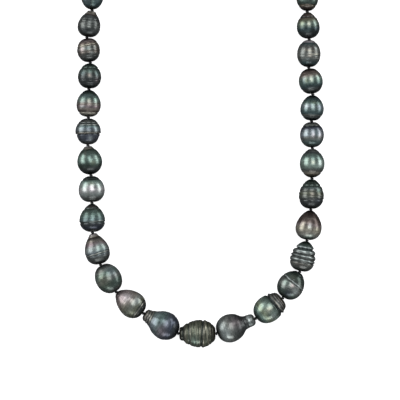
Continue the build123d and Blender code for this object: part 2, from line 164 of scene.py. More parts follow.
def tones():
    """Each tone's name and its linear colour, drawn in towards its own grey by the depth."""
    group = bpy.context.scene.strand_tones
    result = {}
    for name in NacreTones.__annotations__:
        if name != "depth":
            colour = linear(getattr(group, name))
            result[name] = colour.mean() + group.depth * (colour - colour.mean())
    return result


# ---------------------------------------------------------------- the pearls' own features
# A pearl's outline, as its two ends close: 0.5 is a ball's end, less is blunter, more is pointed.
# Its near end, at place -1, faces the centre pearl, and its far end, at +1, the clasp.
# rings: each is a place, a depth in mm (a raised ring's is negative), a spread, and a tilt.
# bands: tones along the pearl, each with its place and its lightness.
# marks: each is a tone, a strength, a place, a spread and a tilt, for a line all round, and two more values for a
# patch: its side, from -1 to 1 across the pearl as seen from above with the far end up, and its width in radians.
# The lines and some patches are the pearl's own colour; many patches are painted light: pale ones near the sides
# and the middle are painted highlights, and dark ones between them are painted dark reflection.
# terrace: height in mm of the fine growth steps.
# caps: stubs that stand out of an end, each with the place where it starts and its share of the
# pearl's radius.
Pearl = namedtuple("Pearl", "near_end far_end terrace rings bands marks caps", defaults=((),))

CENTRE = Pearl(  # Olive barrel, ringed all over, with a deep groove
    0.66, 0.5, 0.024,
    rings=((-0.8, 0.3, 0.06, 0.03), (-0.47, 0.3, 0.05, 0.04), (0.25, 0.45, 0.05, -0.05),
        (-0.64, -0.1, 0.06, 0.03), (0.37, -0.14, 0.06, -0.05), (0.62, 0.16, 0.04, 0.06),
        (-0.15, 0.14, 0.04, 0.05), (0.8, 0.16, 0.04, 0), (0.05, 0.08, 0.03, 0.02), (-0.3, 0.08, 0.03, 0.04)),
    bands=((-1, "olive", 0.8), (-0.6, "moss", 0.9), (-0.1, "moss", 1), (0.2, "olive", 1),
        (0.5, "moss", 0.95), (0.8, "olive", 1.1), (1, "umber", 1)),
    marks=(("ink", 0.75, -0.8, 0.05, 0.03), ("ink", 0.65, -0.47, 0.045, 0.04),
        ("ink", 0.8, 0.25, 0.05, -0.05), ("cream", 0.55, 0.52, 0.03, 0.12),
        ("beige", 0.5, 0.36, 0.03, -0.05), ("beige", 0.45, -0.66, 0.035, 0.03),
        ("beige", 0.4, -0.39, 0.025, 0.04), ("beige", 0.35, -0.05, 0.025, 0.03),
        ("ink", 0.45, -0.15, 0.03, 0.05), ("ink", 0.45, 0.05, 0.025, 0.02),
        ("ink", 0.5, 0.44, 0.025, 0.08), ("ink", 0.55, 0.62, 0.03, 0.06), ("ink", 0.4, -0.3, 0.025, 0.04),
        ("beige", 0.35, 0.14, 0.025, -0.02), ("ink", 0.6, 0.8, 0.04, 0),
        ("sea", 0.5, -0.15, 0.25, 0, 0.6, 0.5), ("umber", 0.6, 0.75, 0.12, 0, -0.3, 0.6)),
    caps=((-0.8, 0.44), (0.84, 0.46))
)

# The pearls on each side, from the one beside the centre pearl to the one at the clasp.
LEFT = (
    Pearl(  # Slate pear with a ringed neck
        0.54, 0.85, 0.01,
        rings=((0.48, 0.45, 0.2, 0), (0.66, 0.22, 0.035, 0.03), (0.79, 0.2, 0.03, 0.02),
            (-0.35, -0.18, 0.35, 0), (-0.55, 0.1, 0.05, 0.05)),
        bands=((-1, "charcoal", 1), (-0.57, "navy", 1.3), (-0.25, "slate", 1), (0.1, "teal", 1.1),
            (0.35, "steel", 1.25), (0.55, "gunmetal", 0.9), (0.62, "charcoal", 1), (1, "taupe", 0.7)),
        marks=(("beige", 0.7, 0.6, 0.022, 0.03), ("beige", 0.7, 0.72, 0.022, 0.02),
            ("beige", 0.7, 0.86, 0.025, 0.02), ("ink", 0.6, 0.66, 0.03, 0.03),
            ("ink", 0.6, 0.79, 0.03, 0.02), ("mauve", 0.6, -0.1, 0.3, 0.1, -0.45, 0.5),
            ("sea", 0.5, 0.2, 0.3, 0.1, 0.6, 0.5), ("ink", 0.7, -0.7, 0.1, 0.1, 0.2, 0.5)),
        caps=((0.62, 0.43),)
    ),
    Pearl(  # Lilac and olive, ringed below
        0.5, 0.75, 0.01,
        rings=((-0.62, 0.12, 0.04, 0.02), (-0.76, 0.12, 0.035, 0.02), (-0.48, 0.07, 0.03, 0.03),
            (0.8, 0.1, 0.04, 0)),
        bands=((-1, "ink", 1), (-0.72, "charcoal", 1.3), (-0.5, "moss", 1), (-0.2, "ash", 1.15),
            (0.1, "taupe", 1.25), (0.5, "rose", 0.95), (1, "mauve", 0.8)),
        marks=(("ink", 0.8, -0.62, 0.04, 0.02), ("ink", 0.8, -0.76, 0.04, 0.02),
            ("beige", 0.5, -0.69, 0.03, 0.02), ("moss", 0.7, -0.1, 0.5, 0, -0.6, 0.6),
            ("silver", 0.5, -0.35, 0.14, 0, 0.5, 0.25), ("milk", 0.5, 0.35, 0.3, 0, 0.3, 0.5),
            ("mauve", 0.5, 0.5, 0.2, 0.1, -0.1, 0.4))
    ),
    Pearl(  # Smooth dark green-grey
        0.5, 0.52, 0.003,
        rings=((0.55, 0.05, 0.08, 0.05),),
        bands=((-1, "gunmetal", 1.2), (-0.6, "pine", 1.05), (-0.3, "bottle", 1.2), (0, "ash", 0.85),
            (0.4, "sea", 0.8), (0.65, "ash", 0.85), (0.86, "charcoal", 1.3), (1, "charcoal", 0.9)),
        marks=(("moss", 0.7, 0.1, 0.5, 0, -0.4, 0.6), ("steel", 0.6, 0.35, 0.4, 0, 0.55, 0.4),
            ("ink", 0.5, -0.75, 0.12, 0, 0.1, 0.8))
    ),
    Pearl(  # Silver drop with a pale ringed tip
        0.5, 0.8, 0.01,
        rings=((-0.25, 0.16, 0.035, 0.04), (-0.38, 0.16, 0.035, 0.04), (-0.5, 0.1, 0.03, 0.04),
            (0.78, 0.14, 0.04, 0.02)),
        bands=((-1, "charcoal", 0.9), (-0.6, "gunmetal", 0.95), (-0.25, "steel", 0.8),
            (0.05, "silver", 0.72), (0.32, "mauve", 1.15), (0.55, "taupe", 0.85), (0.72, "charcoal", 1),
            (0.8, "beige", 1.1), (1, "milk", 0.75)),
        marks=(("ink", 0.6, -0.25, 0.025, 0.04), ("ink", 0.5, -0.38, 0.025, 0.04),
            ("cream", 0.4, -0.31, 0.02, 0.04), ("umber", 0.7, 0.7, 0.05, 0.02),
            ("sea", 0.6, 0.05, 0.3, 0, 0.4, 0.4)),
        caps=((0.76, 0.26),)
    ),
    Pearl(  # Olive, pinched below its middle
        0.52, 0.78, 0.01,
        rings=((-0.33, 0.32, 0.05, 0.03), (0.66, 0.22, 0.05, 0.03), (-0.24, -0.08, 0.05, 0.03),
            (-0.08, 0.08, 0.05, -0.06)),
        bands=((-1, "charcoal", 1.1), (-0.7, "navy", 0.9), (-0.4, "charcoal", 1.1), (-0.1, "teal", 0.95),
            (0.3, "sea", 0.72), (0.55, "pine", 0.9), (0.75, "charcoal", 1.2), (1, "charcoal", 1.1)),
        marks=(("navy", 0.7, -0.62, 0.2, 0, 0.4, 0.6), ("beige", 0.5, -0.28, 0.025, 0.1, 0.5, 0.7),
            ("bottle", 0.6, 0.45, 0.3, 0, -0.2, 0.25), ("ink", 0.6, -0.6, 0.14, 0, -0.15, 0.3),
            ("umber", 0.5, 0.82, 0.08, 0))
    ),
    Pearl(  # The palest: silver and white
        0.44, 0.52, 0.003,
        rings=((0.74, 0.22, 0.05, 0.02), (-0.74, 0.08, 0.05, 0)),
        bands=((-1, "charcoal", 1.2), (-0.7, "gunmetal", 0.9), (-0.42, "silver", 0.62), (0, "milk", 0.85),
            (0.3, "silver", 0.95), (0.55, "sea", 0.95), (0.72, "pine", 0.7), (1, "ink", 1.3)),
        marks=(("mint", 0.6, 0.15, 0.35, 0, -0.6, 0.4), ("mint", 0.5, 0.15, 0.4, 0, 0.65, 0.4),
            ("ink", 0.7, 0.74, 0.05, 0.02), ("ash", 0.7, -0.35, 0.2, 0, -0.2, 0.2),
            ("ash", 0.6, 0, 0.4, 0, -0.25, 0.12), ("milk", 0.8, 0.1, 0.2, 0, 0, 0.2),
            ("charcoal", 0.65, 0.12, 0.11, 0, 0.28, 0.13), ("charcoal", 0.6, -0.62, 0.15, 0, -0.2, 0.2),
            ("pistachio", 0.5, 0.42, 0.15, 0, 0.05, 0.3), ("charcoal", 0.6, -0.72, 0.1, 0, 0.25, 0.4))
    ),
    Pearl(  # Bottle green with a cream tip
        0.6, 0.76, 0.003,
        rings=((0.8, 0.3, 0.05, 0), (0.93, -0.1, 0.04, 0)),
        bands=((-1, "ink", 1), (-0.65, "charcoal", 0.9), (-0.35, "bottle", 0.9), (-0.05, "sea", 0.75),
            (0.25, "sea", 0.9), (0.5, "pine", 0.85), (0.72, "bottle", 0.9), (0.84, "beige", 1),
            (1, "milk", 0.8)),
        marks=(("mint", 0.6, 0.15, 0.3, 0, -0.62, 0.35), ("mint", 0.45, 0.1, 0.35, 0, 0.62, 0.35),
            ("ink", 0.85, 0.15, 0.11, 0, 0.26, 0.14), ("bottle", 0.8, 0.1, 0.5, 0, -0.28, 0.14),
            ("pistachio", 0.5, -0.2, 0.15, 0, 0.35, 0.2), ("umber", 0.5, 0.55, 0.3, 0, -0.3, 0.1)),
        caps=((0.87, 0.22),)
    ),
    Pearl(  # Fine rings above, a step below
        0.52, 0.52, 0.009,
        rings=((-0.22, 0.46, 0.045, 0.05), (0.62, 0.18, 0.05, 0.02), (-0.12, -0.12, 0.05, 0.05),
            (-0.45, 0.3, 0.25, 0), (0.42, 0.08, 0.04, 0.04), (0.78, 0.12, 0.04, 0)),
        bands=((-1, "charcoal", 0.9), (-0.6, "slate", 0.65), (-0.3, "slate", 0.95),
            (-0.12, "gunmetal", 0.9), (0.1, "steel", 0.85), (0.35, "teal", 1.05), (0.65, "gunmetal", 1),
            (1, "gunmetal", 1.1)),
        marks=(("beige", 0.9, -0.15, 0.04, 0.05), ("ink", 0.8, -0.05, 0.03, 0.05),
            ("ink", 0.6, -0.24, 0.04, 0.05), ("ink", 0.6, 0.42, 0.025, 0.02),
            ("beige", 0.4, 0.5, 0.02, 0.02), ("ink", 0.6, 0.62, 0.03, 0.02), ("ink", 0.5, 0.78, 0.03, 0),
            ("navy", 0.85, 0.2, 0.08, 0, 0.28, 0.22), ("silver", 0.45, 0.2, 0.16, 0, -0.65, 0.25),
            ("navy", 0.8, -0.55, 0.18, 0, -0.15, 0.2), ("silver", 0.5, -0.52, 0.12, 0, 0.3, 0.18),
            ("silver", 0.35, 0.15, 0.2, 0, 0.7, 0.2))
    ),
    Pearl(  # Top-shaped: teal over mauve and beige
        0.48, 0.62, 0.006,
        rings=((-0.68, 0.24, 0.05, 0), (-0.84, -0.06, 0.04, 0), (0.78, 0.16, 0.04, 0)),
        bands=((-1, "beige", 1.1), (-0.72, "beige", 1.1), (-0.64, "umber", 1), (-0.5, "taupe", 0.95),
            (-0.3, "mauve", 0.95), (-0.06, "taupe", 0.85), (0.06, "ash", 0.9), (0.3, "sea", 0.85),
            (0.55, "teal", 0.9), (0.74, "bottle", 0.8), (1, "ink", 0.6)),
        marks=(("mint", 0.6, 0.25, 0.22, 0, -0.6, 0.35), ("mint", 0.6, 0.15, 0.25, 0, 0.65, 0.3),
            ("umber", 0.7, 0.2, 0.28, 0, 0.3, 0.12), ("cream", 0.5, 0.18, 0.12, 0, 0.05, 0.16),
            ("umber", 0.8, -0.6, 0.04, -0.04), ("umber", 0.6, -0.08, 0.03, 0.06),
            ("bottle", 0.5, 0.5, 0.2, 0, 0.25, 0.3), ("silver", 0.4, -0.3, 0.1, 0, -0.45, 0.3))
    ),
    Pearl(  # Dark green egg
        0.5, 0.6, 0.006,
        rings=((0.6, 0.22, 0.06, 0.03), (-0.35, 0.08, 0.05, 0.03), (-0.62, 0.08, 0.04, 0)),
        bands=((-1, "ink", 1), (-0.6, "charcoal", 0.85), (-0.3, "charcoal", 1), (0, "gunmetal", 0.85),
            (0.3, "pine", 0.95), (0.55, "bottle", 1), (1, "bottle", 0.9)),
        marks=(("teal", 0.7, 0.15, 0.2, 0, -0.6, 0.3), ("teal", 0.7, 0.2, 0.3, 0, 0.7, 0.25),
            ("taupe", 0.7, 0.02, 0.14, 0, 0.02, 0.2), ("ink", 1, 0.08, 0.16, 0, 0.3, 0.2),
            ("ink", 0.8, -0.05, 0.4, 0, -0.32, 0.16), ("charcoal", 0.7, 0.52, 0.03, 0.03),
            ("sea", 0.4, 0.35, 0.12, 0, 0.05, 0.25), ("mauve", 0.4, -0.35, 0.2, 0, 0.7, 0.2),
            ("ink", 0.6, -0.7, 0.18, 0, 0.2, 0.25))
    ),
    Pearl(  # Mauve and cream, round
        0.5, 0.5, 0.008,
        rings=((0.5, 0.14, 0.05, 0.08), (-0.55, 0.1, 0.05, 0), (0.1, 0.09, 0.06, -0.1),
            (0.34, 0.1, 0.04, 0.08), (-0.2, 0.08, 0.05, -0.06)),
        bands=((-1, "charcoal", 1), (-0.5, "gunmetal", 0.85), (-0.2, "taupe", 0.62), (0.1, "ash", 0.85),
            (0.38, "beige", 0.72), (0.55, "umber", 1.5), (0.75, "mauve", 0.85), (1, "umber", 1)),
        marks=(("cream", 0.6, 0.42, 0.035, 0.08), ("umber", 0.7, 0.34, 0.03, 0.08),
            ("umber", 0.5, -0.2, 0.03, -0.06), ("umber", 0.5, 0.6, 0.03, 0.05),
            ("beige", 0.4, 0.68, 0.03, 0.04), ("olive", 0.8, 0.31, 0.035, 0.1, -0.4, 0.5),
            ("rose", 0.75, 0.06, 0.2, 0, -0.6, 0.3), ("teal", 0.5, 0.1, 0.15, 0, 0.02, 0.25),
            ("ink", 0.8, 0.16, 0.09, 0, 0.36, 0.13), ("ink", 0.8, -0.1, 0.08, 0, 0.4, 0.15),
            ("ink", 0.7, -0.42, 0.14, 0, -0.1, 0.2), ("umber", 0.7, 0.05, 0.3, 0, 0.85, 0.25),
            ("silver", 0.35, -0.32, 0.1, 0, 0.28, 0.15))
    ),
    Pearl(  # Mottled grey with a beige tip
        0.5, 0.76, 0.01,
        rings=((0.7, 0.16, 0.05, 0.02), (0.3, 0.07, 0.04, 0.06), (0.05, 0.07, 0.04, -0.05),
            (-0.25, 0.08, 0.05, 0.05)),
        bands=((-1, "ink", 1), (-0.6, "charcoal", 1.15), (-0.2, "gunmetal", 0.95), (0.15, "gunmetal", 0.9),
            (0.45, "charcoal", 1.3), (0.66, "charcoal", 1.1), (0.76, "taupe", 1), (1, "beige", 1.1)),
        marks=(("umber", 0.8, 0.66, 0.05, 0.02), ("ash", 0.6, 0.2, 0.16, 0, -0.62, 0.25),
            ("ash", 0.6, -0.2, 0.16, 0, -0.55, 0.28), ("ash", 0.6, -0.28, 0.07, 0.1, 0.1, 0.4),
            ("ink", 0.8, 0.22, 0.09, 0, -0.3, 0.25), ("ink", 0.7, 0, 0.09, 0, 0.35, 0.2),
            ("ink", 0.85, -0.6, 0.16, 0, 0.08, 0.25), ("ink", 0.6, -0.25, 0.08, 0, 0.35, 0.16)),
        caps=((0.8, 0.3),)
    ),
    Pearl(  # Teal with upright streaks
        0.58, 0.5, 0.004,
        rings=((-0.5, 0.06, 0.05, 0.02),),
        bands=((-1, "ink", 0.7), (-0.65, "peacock", 0.8), (-0.3, "teal", 0.85), (0.1, "teal", 1),
            (0.5, "sea", 0.75), (0.8, "peacock", 1), (1, "ink", 1.2)),
        marks=(("ink", 0.7, -0.6, 0.5, 0, -0.05, 0.12), ("mint", 0.55, -0.25, 0.4, 0, 0.12, 0.12),
            ("steel", 0.6, -0.1, 0.4, 0, -0.6, 0.3), ("slate", 0.6, 0, 0.4, 0, 0.6, 0.3),
            ("ink", 0.6, 0, 0.4, 0, 0.35, 0.1))
    ),
    Pearl(  # Moss green
        0.5, 0.55, 0.005,
        rings=((0.4, 0.14, 0.05, 0.03),),
        bands=((-1, "charcoal", 1), (-0.4, "pine", 1.1), (0.2, "moss", 1), (0.6, "pine", 0.9),
            (1, "umber", 1)),
        marks=(("pistachio", 0.5, 0.1, 0.3, 0, -0.3, 0.5), ("ink", 0.6, 0.4, 0.04, 0.03))
    ),
    Pearl(  # Silver
        0.5, 0.66, 0.006,
        rings=((-0.3, 0.16, 0.05, 0.04), (0.7, 0.12, 0.04, 0)),
        bands=((-1, "gunmetal", 1), (-0.4, "steel", 0.9), (0.1, "silver", 0.6), (0.5, "steel", 1),
            (1, "beige", 1)),
        marks=(("milk", 0.5, 0.1, 0.3, 0, 0.3, 0.4), ("ink", 0.5, -0.3, 0.04, 0.04))
    ),
    Pearl(  # Slate and navy
        0.5, 0.5, 0.004,
        rings=((0.2, 0.08, 0.05, 0.05),),
        bands=((-1, "ink", 1.2), (-0.4, "slate", 0.9), (0.2, "slate", 1.1), (0.6, "navy", 1.3),
            (1, "ink", 1.2)),
        marks=(("mauve", 0.6, 0, 0.3, 0, 0.4, 0.5), ("teal", 0.5, 0.2, 0.3, 0, -0.5, 0.4))
    ),
    Pearl(  # Dark green
        0.52, 0.62, 0.007,
        rings=((0.62, 0.16, 0.05, 0.03), (-0.45, 0.1, 0.05, -0.04)),
        bands=((-1, "bottle", 1), (-0.4, "pine", 1), (0.2, "sea", 0.7), (0.6, "bottle", 1.1),
            (1, "taupe", 0.9)),
        marks=(("ink", 0.5, -0.45, 0.04, -0.04), ("mint", 0.4, 0.15, 0.25, 0, -0.3, 0.4))
    ),
    Pearl(  # Grey and rose
        0.5, 0.54, 0.005,
        rings=((-0.1, 0.08, 0.05, 0.06),),
        bands=((-1, "charcoal", 1.1), (-0.4, "gunmetal", 1), (0.2, "ash", 0.8), (0.6, "mauve", 0.8),
            (1, "charcoal", 1)),
        marks=(("rose", 0.5, 0.2, 0.3, 0, 0.3, 0.5),)
    ),
)

RIGHT = (
    Pearl(  # Gunmetal with a long neck and a pale nub
        0.48, 0.92, 0.009,
        rings=((0.44, 1, 0.22, 0), (0.6, 0.16, 0.04, 0.04), (-0.35, -0.2, 0.35, 0)),
        bands=((-1, "charcoal", 1), (-0.72, "silver", 0.55), (-0.35, "ash", 1), (-0.1, "gunmetal", 1),
            (0.2, "charcoal", 1), (0.48, "charcoal", 0.9), (0.6, "gunmetal", 0.9), (0.72, "silver", 0.75),
            (1, "ash", 1)),
        marks=(("ink", 0.7, 0.3, 0.14, 0.1, -0.2, 0.7), ("silver", 0.5, -0.55, 0.2, 0, 0.2, 0.4),
            ("mauve", 0.5, 0, 0.3, 0, -0.4, 0.5), ("ink", 0.6, 0.58, 0.04, 0.04),
            ("charcoal", 0.4, 0.8, 0.03, 0.03), ("charcoal", 0.6, -0.2, 0.2, 0, 0.6, 0.3)),
        caps=((0.62, 0.4),)
    ),
    Pearl(  # Mint, with a ringed brown cap
        0.5, 0.56, 0.008,
        rings=((0.4, 0.5, 0.055, 0.02), (0.52, -0.26, 0.05, 0.02), (0.66, 0.16, 0.035, 0.02),
            (0.79, 0.12, 0.03, 0.02)),
        bands=((-1, "pine", 0.8), (-0.7, "sea", 0.85), (-0.4, "pistachio", 0.95), (0, "mint", 0.72),
            (0.26, "pine", 1), (0.4, "ink", 1.2), (0.52, "gunmetal", 0.9), (0.7, "charcoal", 1.3),
            (1, "bronze", 0.8)),
        marks=(("mint", 0.7, -0.2, 0.22, 0, -0.45, 0.3), ("cream", 0.6, -0.05, 0.2, 0, 0, 0.2),
            ("silver", 0.6, -0.1, 0.25, 0, 0.65, 0.3), ("bottle", 0.7, -0.35, 0.3, 0, 0.38, 0.15),
            ("beige", 0.8, 0.56, 0.025, 0.02), ("taupe", 0.6, 0.72, 0.025, 0.02),
            ("beige", 0.5, 0.86, 0.02, 0.02), ("ink", 0.6, 0.64, 0.025, 0.02),
            ("ink", 0.6, 0.79, 0.025, 0.02), ("ink", 0.6, -0.85, 0.12, 0, 0, 0.5)),
        caps=((0.46, 0.74),)
    ),
    Pearl(  # Green-grey with a tilted double line
        0.5, 0.62, 0.004,
        rings=((0.16, 0.16, 0.03, -0.12), (0.24, -0.1, 0.035, -0.12), (0.8, 0.2, 0.05, 0)),
        bands=((-1, "charcoal", 0.85), (-0.6, "pine", 0.8), (-0.3, "ash", 0.8), (0, "ash", 0.9),
            (0.22, "gunmetal", 0.95), (0.5, "pine", 0.75), (0.8, "bottle", 0.85), (1, "charcoal", 0.9)),
        marks=(("silver", 0.6, 0.24, 0.03, -0.12), ("ink", 0.8, 0.15, 0.03, -0.12),
            ("mint", 0.6, -0.05, 0.2, 0, -0.5, 0.3), ("rose", 0.7, 0, 0.1, 0, 0.05, 0.16),
            ("silver", 0.55, -0.25, 0.2, 0, 0.5, 0.25), ("navy", 0.7, -0.6, 0.25, 0, 0.1, 0.3),
            ("moss", 0.4, 0.5, 0.2, 0, -0.3, 0.4)),
        caps=((0.84, 0.24),)
    ),
    Pearl(  # Ringed like a beehive
        0.42, 0.66, 0.007,
        rings=((0.5, 0.8, 0.05, 0.03), (0.34, -0.2, 0.07, 0.03), (0.14, 0.42, 0.045, 0.03),
            (0, -0.14, 0.05, 0), (-0.14, 0.4, 0.045, -0.04), (-0.27, -0.1, 0.05, 0),
            (-0.4, 0.3, 0.045, 0.03), (0.66, -0.1, 0.1, 0)),
        bands=((-1, "gunmetal", 0.8), (-0.6, "ash", 0.7), (-0.3, "gunmetal", 1.05), (0, "gunmetal", 1.15),
            (0.3, "gunmetal", 1.1), (0.5, "teal", 0.7), (0.75, "pine", 1), (1, "bottle", 0.8)),
        marks=(("ink", 0.75, 0.52, 0.03, 0.03), ("ink", 0.6, 0.14, 0.035, 0.03),
            ("ink", 0.6, -0.14, 0.035, -0.04), ("ink", 0.5, -0.4, 0.035, 0.03),
            ("silver", 0.6, 0.6, 0.05, 0), ("silver", 0.6, 0.34, 0.03, 0.03),
            ("silver", 0.6, 0.02, 0.03, 0), ("silver", 0.5, -0.25, 0.03, 0),
            ("silver", 0.4, 0.24, 0.02, 0.05), ("ink", 0.4, -0.05, 0.02, -0.04),
            ("beige", 0.4, -0.52, 0.03, 0.02), ("umber", 0.5, -0.6, 0.15, 0, -0.3, 0.4))
    ),
    Pearl(  # Smooth drop, brown to beige
        0.5, 0.74, 0.003,
        rings=((0.86, 0.1, 0.04, 0),),
        bands=((-1, "pine", 1), (-0.8, "ash", 1), (-0.5, "beige", 1), (-0.22, "cream", 0.62),
            (0.02, "rose", 0.65), (0.22, "umber", 1.5), (0.5, "umber", 0.9), (0.8, "umber", 0.8),
            (1, "ink", 0.9)),
        marks=(("cream", 0.6, 0.05, 0.16, 0.1, -0.5, 0.22), ("umber", 0.7, -0.25, 0.4, 0, 0.28, 0.1),
            ("silver", 0.5, -0.1, 0.2, 0, 0.02, 0.15), ("cream", 0.6, -0.35, 0.16, 0.1, 0.6, 0.25),
            ("umber", 0.7, 0.15, 0.25, 0, 0.65, 0.3), ("taupe", 0.5, 0.45, 0.06, 0.05, 0, 0.6),
            ("mint", 0.4, -0.75, 0.2, 0, 0.2, 0.4))
    ),
    Pearl(  # Dark green, stepped
        0.5, 0.66, 0.008,
        rings=((0.55, 0.3, 0.055, 0.02), (0.2, 0.18, 0.05, 0.04), (-0.4, 0.18, 0.05, 0.02),
            (0.74, 0.12, 0.05, 0), (-0.12, 0.1, 0.04, -0.05)),
        bands=((-1, "ink", 1), (-0.6, "charcoal", 0.9), (-0.3, "gunmetal", 0.75), (0.05, "moss", 0.75),
            (0.3, "gunmetal", 0.85), (0.5, "pine", 0.75), (0.75, "bottle", 0.85), (1, "bottle", 0.8)),
        marks=(("ash", 0.6, 0.12, 0.1, 0, -0.65, 0.25), ("ash", 0.6, -0.12, 0.1, 0, -0.6, 0.25),
            ("taupe", 0.7, 0, 0.14, 0, 0.02, 0.18), ("sea", 0.6, 0.25, 0.12, 0, 0.62, 0.25),
            ("ash", 0.6, -0.1, 0.1, 0, 0.62, 0.22), ("navy", 0.5, -0.45, 0.2, 0, 0.6, 0.3),
            ("ink", 0.75, 0.08, 0.09, 0, 0.32, 0.16), ("teal", 0.5, 0.42, 0.07, 0, -0.1, 0.6),
            ("ink", 0.6, -0.75, 0.15, 0, 0.2, 0.3))
    ),
    Pearl(  # Mint with a bronze foot
        0.62, 0.66, 0.004,
        rings=((0.76, 0.18, 0.045, 0), (-0.66, 0.18, 0.05, 0.02)),
        bands=((-1, "bronze", 0.75), (-0.8, "bronze", 0.9), (-0.66, "beige", 0.75),
            (-0.52, "gunmetal", 0.9), (-0.25, "mint", 0.65), (0.1, "mint", 0.85), (0.35, "sea", 0.9),
            (0.6, "pine", 0.95), (0.78, "charcoal", 1.1), (0.9, "ash", 0.9), (1, "ash", 1)),
        marks=(("mint", 0.6, 0.08, 0.22, 0, -0.6, 0.3), ("silver", 0.6, 0, 0.25, 0, 0.66, 0.28),
            ("cream", 0.5, 0.05, 0.12, 0, 0.02, 0.14), ("pine", 0.7, 0.15, 0.3, 0, 0.32, 0.12),
            ("umber", 0.6, -0.52, 0.05, 0, 0, 0.5), ("umber", 0.6, -0.8, 0.05, 0, 0.1, 0.5),
            ("moss", 0.5, 0.25, 0.12, 0, -0.25, 0.2)),
        caps=((0.84, 0.26),)
    ),
    Pearl(  # Steel blue, with a grey cap and a black tip
        0.5, 0.52, 0.004,
        rings=((0.66, 0.16, 0.05, 0.01), (0.84, -0.05, 0.05, 0)),
        bands=((-1, "pine", 0.75), (-0.6, "teal", 0.85), (-0.25, "ash", 0.9), (0, "steel", 1.3),
            (0.3, "steel", 1), (0.42, "slate", 0.95), (0.54, "navy", 0.9), (0.66, "ink", 0.9),
            (0.74, "ash", 0.8), (0.82, "ash", 0.8), (0.88, "charcoal", 0.7), (1, "ink", 0.6)),
        marks=(("silver", 0.5, 0.15, 0.2, 0, -0.6, 0.3), ("milk", 0.5, -0.05, 0.25, 0, 0.05, 0.16),
            ("milk", 0.35, -0.05, 0.3, 0, 0.68, 0.25), ("peacock", 0.7, 0.1, 0.3, 0, 0.32, 0.12),
            ("pine", 0.5, -0.55, 0.1, 0, -0.1, 0.5), ("slate", 0.5, -0.2, 0.2, 0, -0.85, 0.2)),
        caps=((0.74, 0.4),)
    ),
    Pearl(  # Slate with a black cone tip
        0.52, 0.66, 0.004,
        rings=((-0.7, 0.18, 0.05, 0.02), (-0.55, 0.05, 0.04, 0)),
        bands=((-1, "ink", 1), (-0.75, "charcoal", 1.2), (-0.62, "ash", 0.7), (-0.5, "peacock", 0.8),
            (-0.2, "teal", 0.95), (0.1, "steel", 1.25), (0.35, "sea", 0.8), (0.6, "peacock", 0.8),
            (0.85, "ink", 1), (1, "ink", 0.7)),
        marks=(("silver", 0.55, 0.1, 0.2, 0, -0.6, 0.3), ("mint", 0.5, 0.05, 0.2, 0, 0.02, 0.14),
            ("pine", 0.7, 0.1, 0.35, 0, 0.3, 0.12), ("steel", 0.5, 0.05, 0.3, 0, 0.68, 0.25),
            ("pistachio", 0.35, 0.4, 0.14, 0, 0.08, 0.2), ("bottle", 0.6, 0.5, 0.2, 0, -0.25, 0.25)),
        caps=((-0.72, 0.5),)
    ),
    Pearl(  # Mauve over mint and green
        0.5, 0.52, 0.005,
        rings=((0.62, 0.1, 0.06, 0.04), (-0.62, 0.06, 0.05, 0)),
        bands=((-1, "ink", 0.9), (-0.65, "charcoal", 1), (-0.4, "peacock", 0.85), (-0.1, "sea", 0.72),
            (0.15, "mint", 0.62), (0.42, "taupe", 0.9), (0.7, "umber", 1.5), (1, "umber", 0.7)),
        marks=(("silver", 0.6, 0.22, 0.14, 0, -0.6, 0.2), ("teal", 0.7, -0.05, 0.25, 0, -0.68, 0.25),
            ("pistachio", 0.6, 0.05, 0.2, 0, -0.4, 0.15), ("cream", 0.4, 0.05, 0.2, 0, 0, 0.14),
            ("bottle", 0.75, -0.1, 0.4, 0, 0.25, 0.11), ("mint", 0.5, 0.15, 0.2, 0, 0.65, 0.25),
            ("umber", 0.5, 0.55, 0.2, 0, -0.6, 0.3), ("ink", 0.6, -0.45, 0.1, 0, -0.1, 0.3))
    ),
    Pearl(  # Silver-taupe with a pale nub
        0.5, 0.54, 0.012,
        rings=((0.8, 0.22, 0.05, 0.02), (0.12, 0.07, 0.05, 0.08), (-0.2, 0.07, 0.05, -0.06)),
        bands=((-1, "peacock", 0.6), (-0.75, "peacock", 0.85), (-0.4, "ash", 0.7), (-0.1, "ash", 0.9),
            (0.2, "ash", 0.8), (0.5, "gunmetal", 0.9), (0.74, "peacock", 0.75), (0.86, "milk", 1),
            (1, "milk", 0.8)),
        marks=(("ash", 0.6, 0.12, 0.2, 0, -0.6, 0.2), ("beige", 0.7, -0.12, 0.16, 0, 0.05, 0.2),
            ("umber", 0.7, 0.22, 0.1, 0, -0.25, 0.18), ("umber", 0.8, 0.28, 0.07, 0, 0.3, 0.2),
            ("umber", 0.8, 0.06, 0.05, 0.05, 0.35, 0.2), ("umber", 0.6, 0.4, 0.04, 0.1, 0.1, 0.5),
            ("cream", 0.5, 0.16, 0.05, -0.1, 0, 0.4), ("umber", 0.6, -0.28, 0.04, -0.1, 0.2, 0.4),
            ("cream", 0.5, -0.15, 0.06, 0.1, 0.5, 0.4), ("silver", 0.5, -0.45, 0.08, 0, -0.12, 0.14),
            ("silver", 0.4, 0.35, 0.1, 0, 0.6, 0.15), ("ink", 0.8, -0.72, 0.14, 0, 0.08, 0.3)),
        caps=((0.84, 0.26),)
    ),
    Pearl(  # Mint and moss, with a brown cone tip
        0.52, 0.7, 0.006,
        rings=((0.62, 0.26, 0.04, 0), (-0.1, 0.06, 0.05, 0)),
        bands=((-1, "ink", 0.9), (-0.6, "ink", 1.3), (-0.32, "peacock", 0.62), (-0.14, "pine", 0.9),
            (0.05, "mint", 0.55), (0.3, "moss", 0.95), (0.5, "bronze", 0.75), (0.62, "ink", 1.1),
            (0.72, "umber", 1.2), (1, "taupe", 0.6)),
        marks=(("pistachio", 0.7, 0.15, 0.2, 0, -0.62, 0.25), ("cream", 0.5, 0.05, 0.14, 0, 0.02, 0.15),
            ("bottle", 0.7, 0, 0.2, 0, 0.3, 0.14), ("mint", 0.55, 0.15, 0.25, 0, 0.64, 0.22),
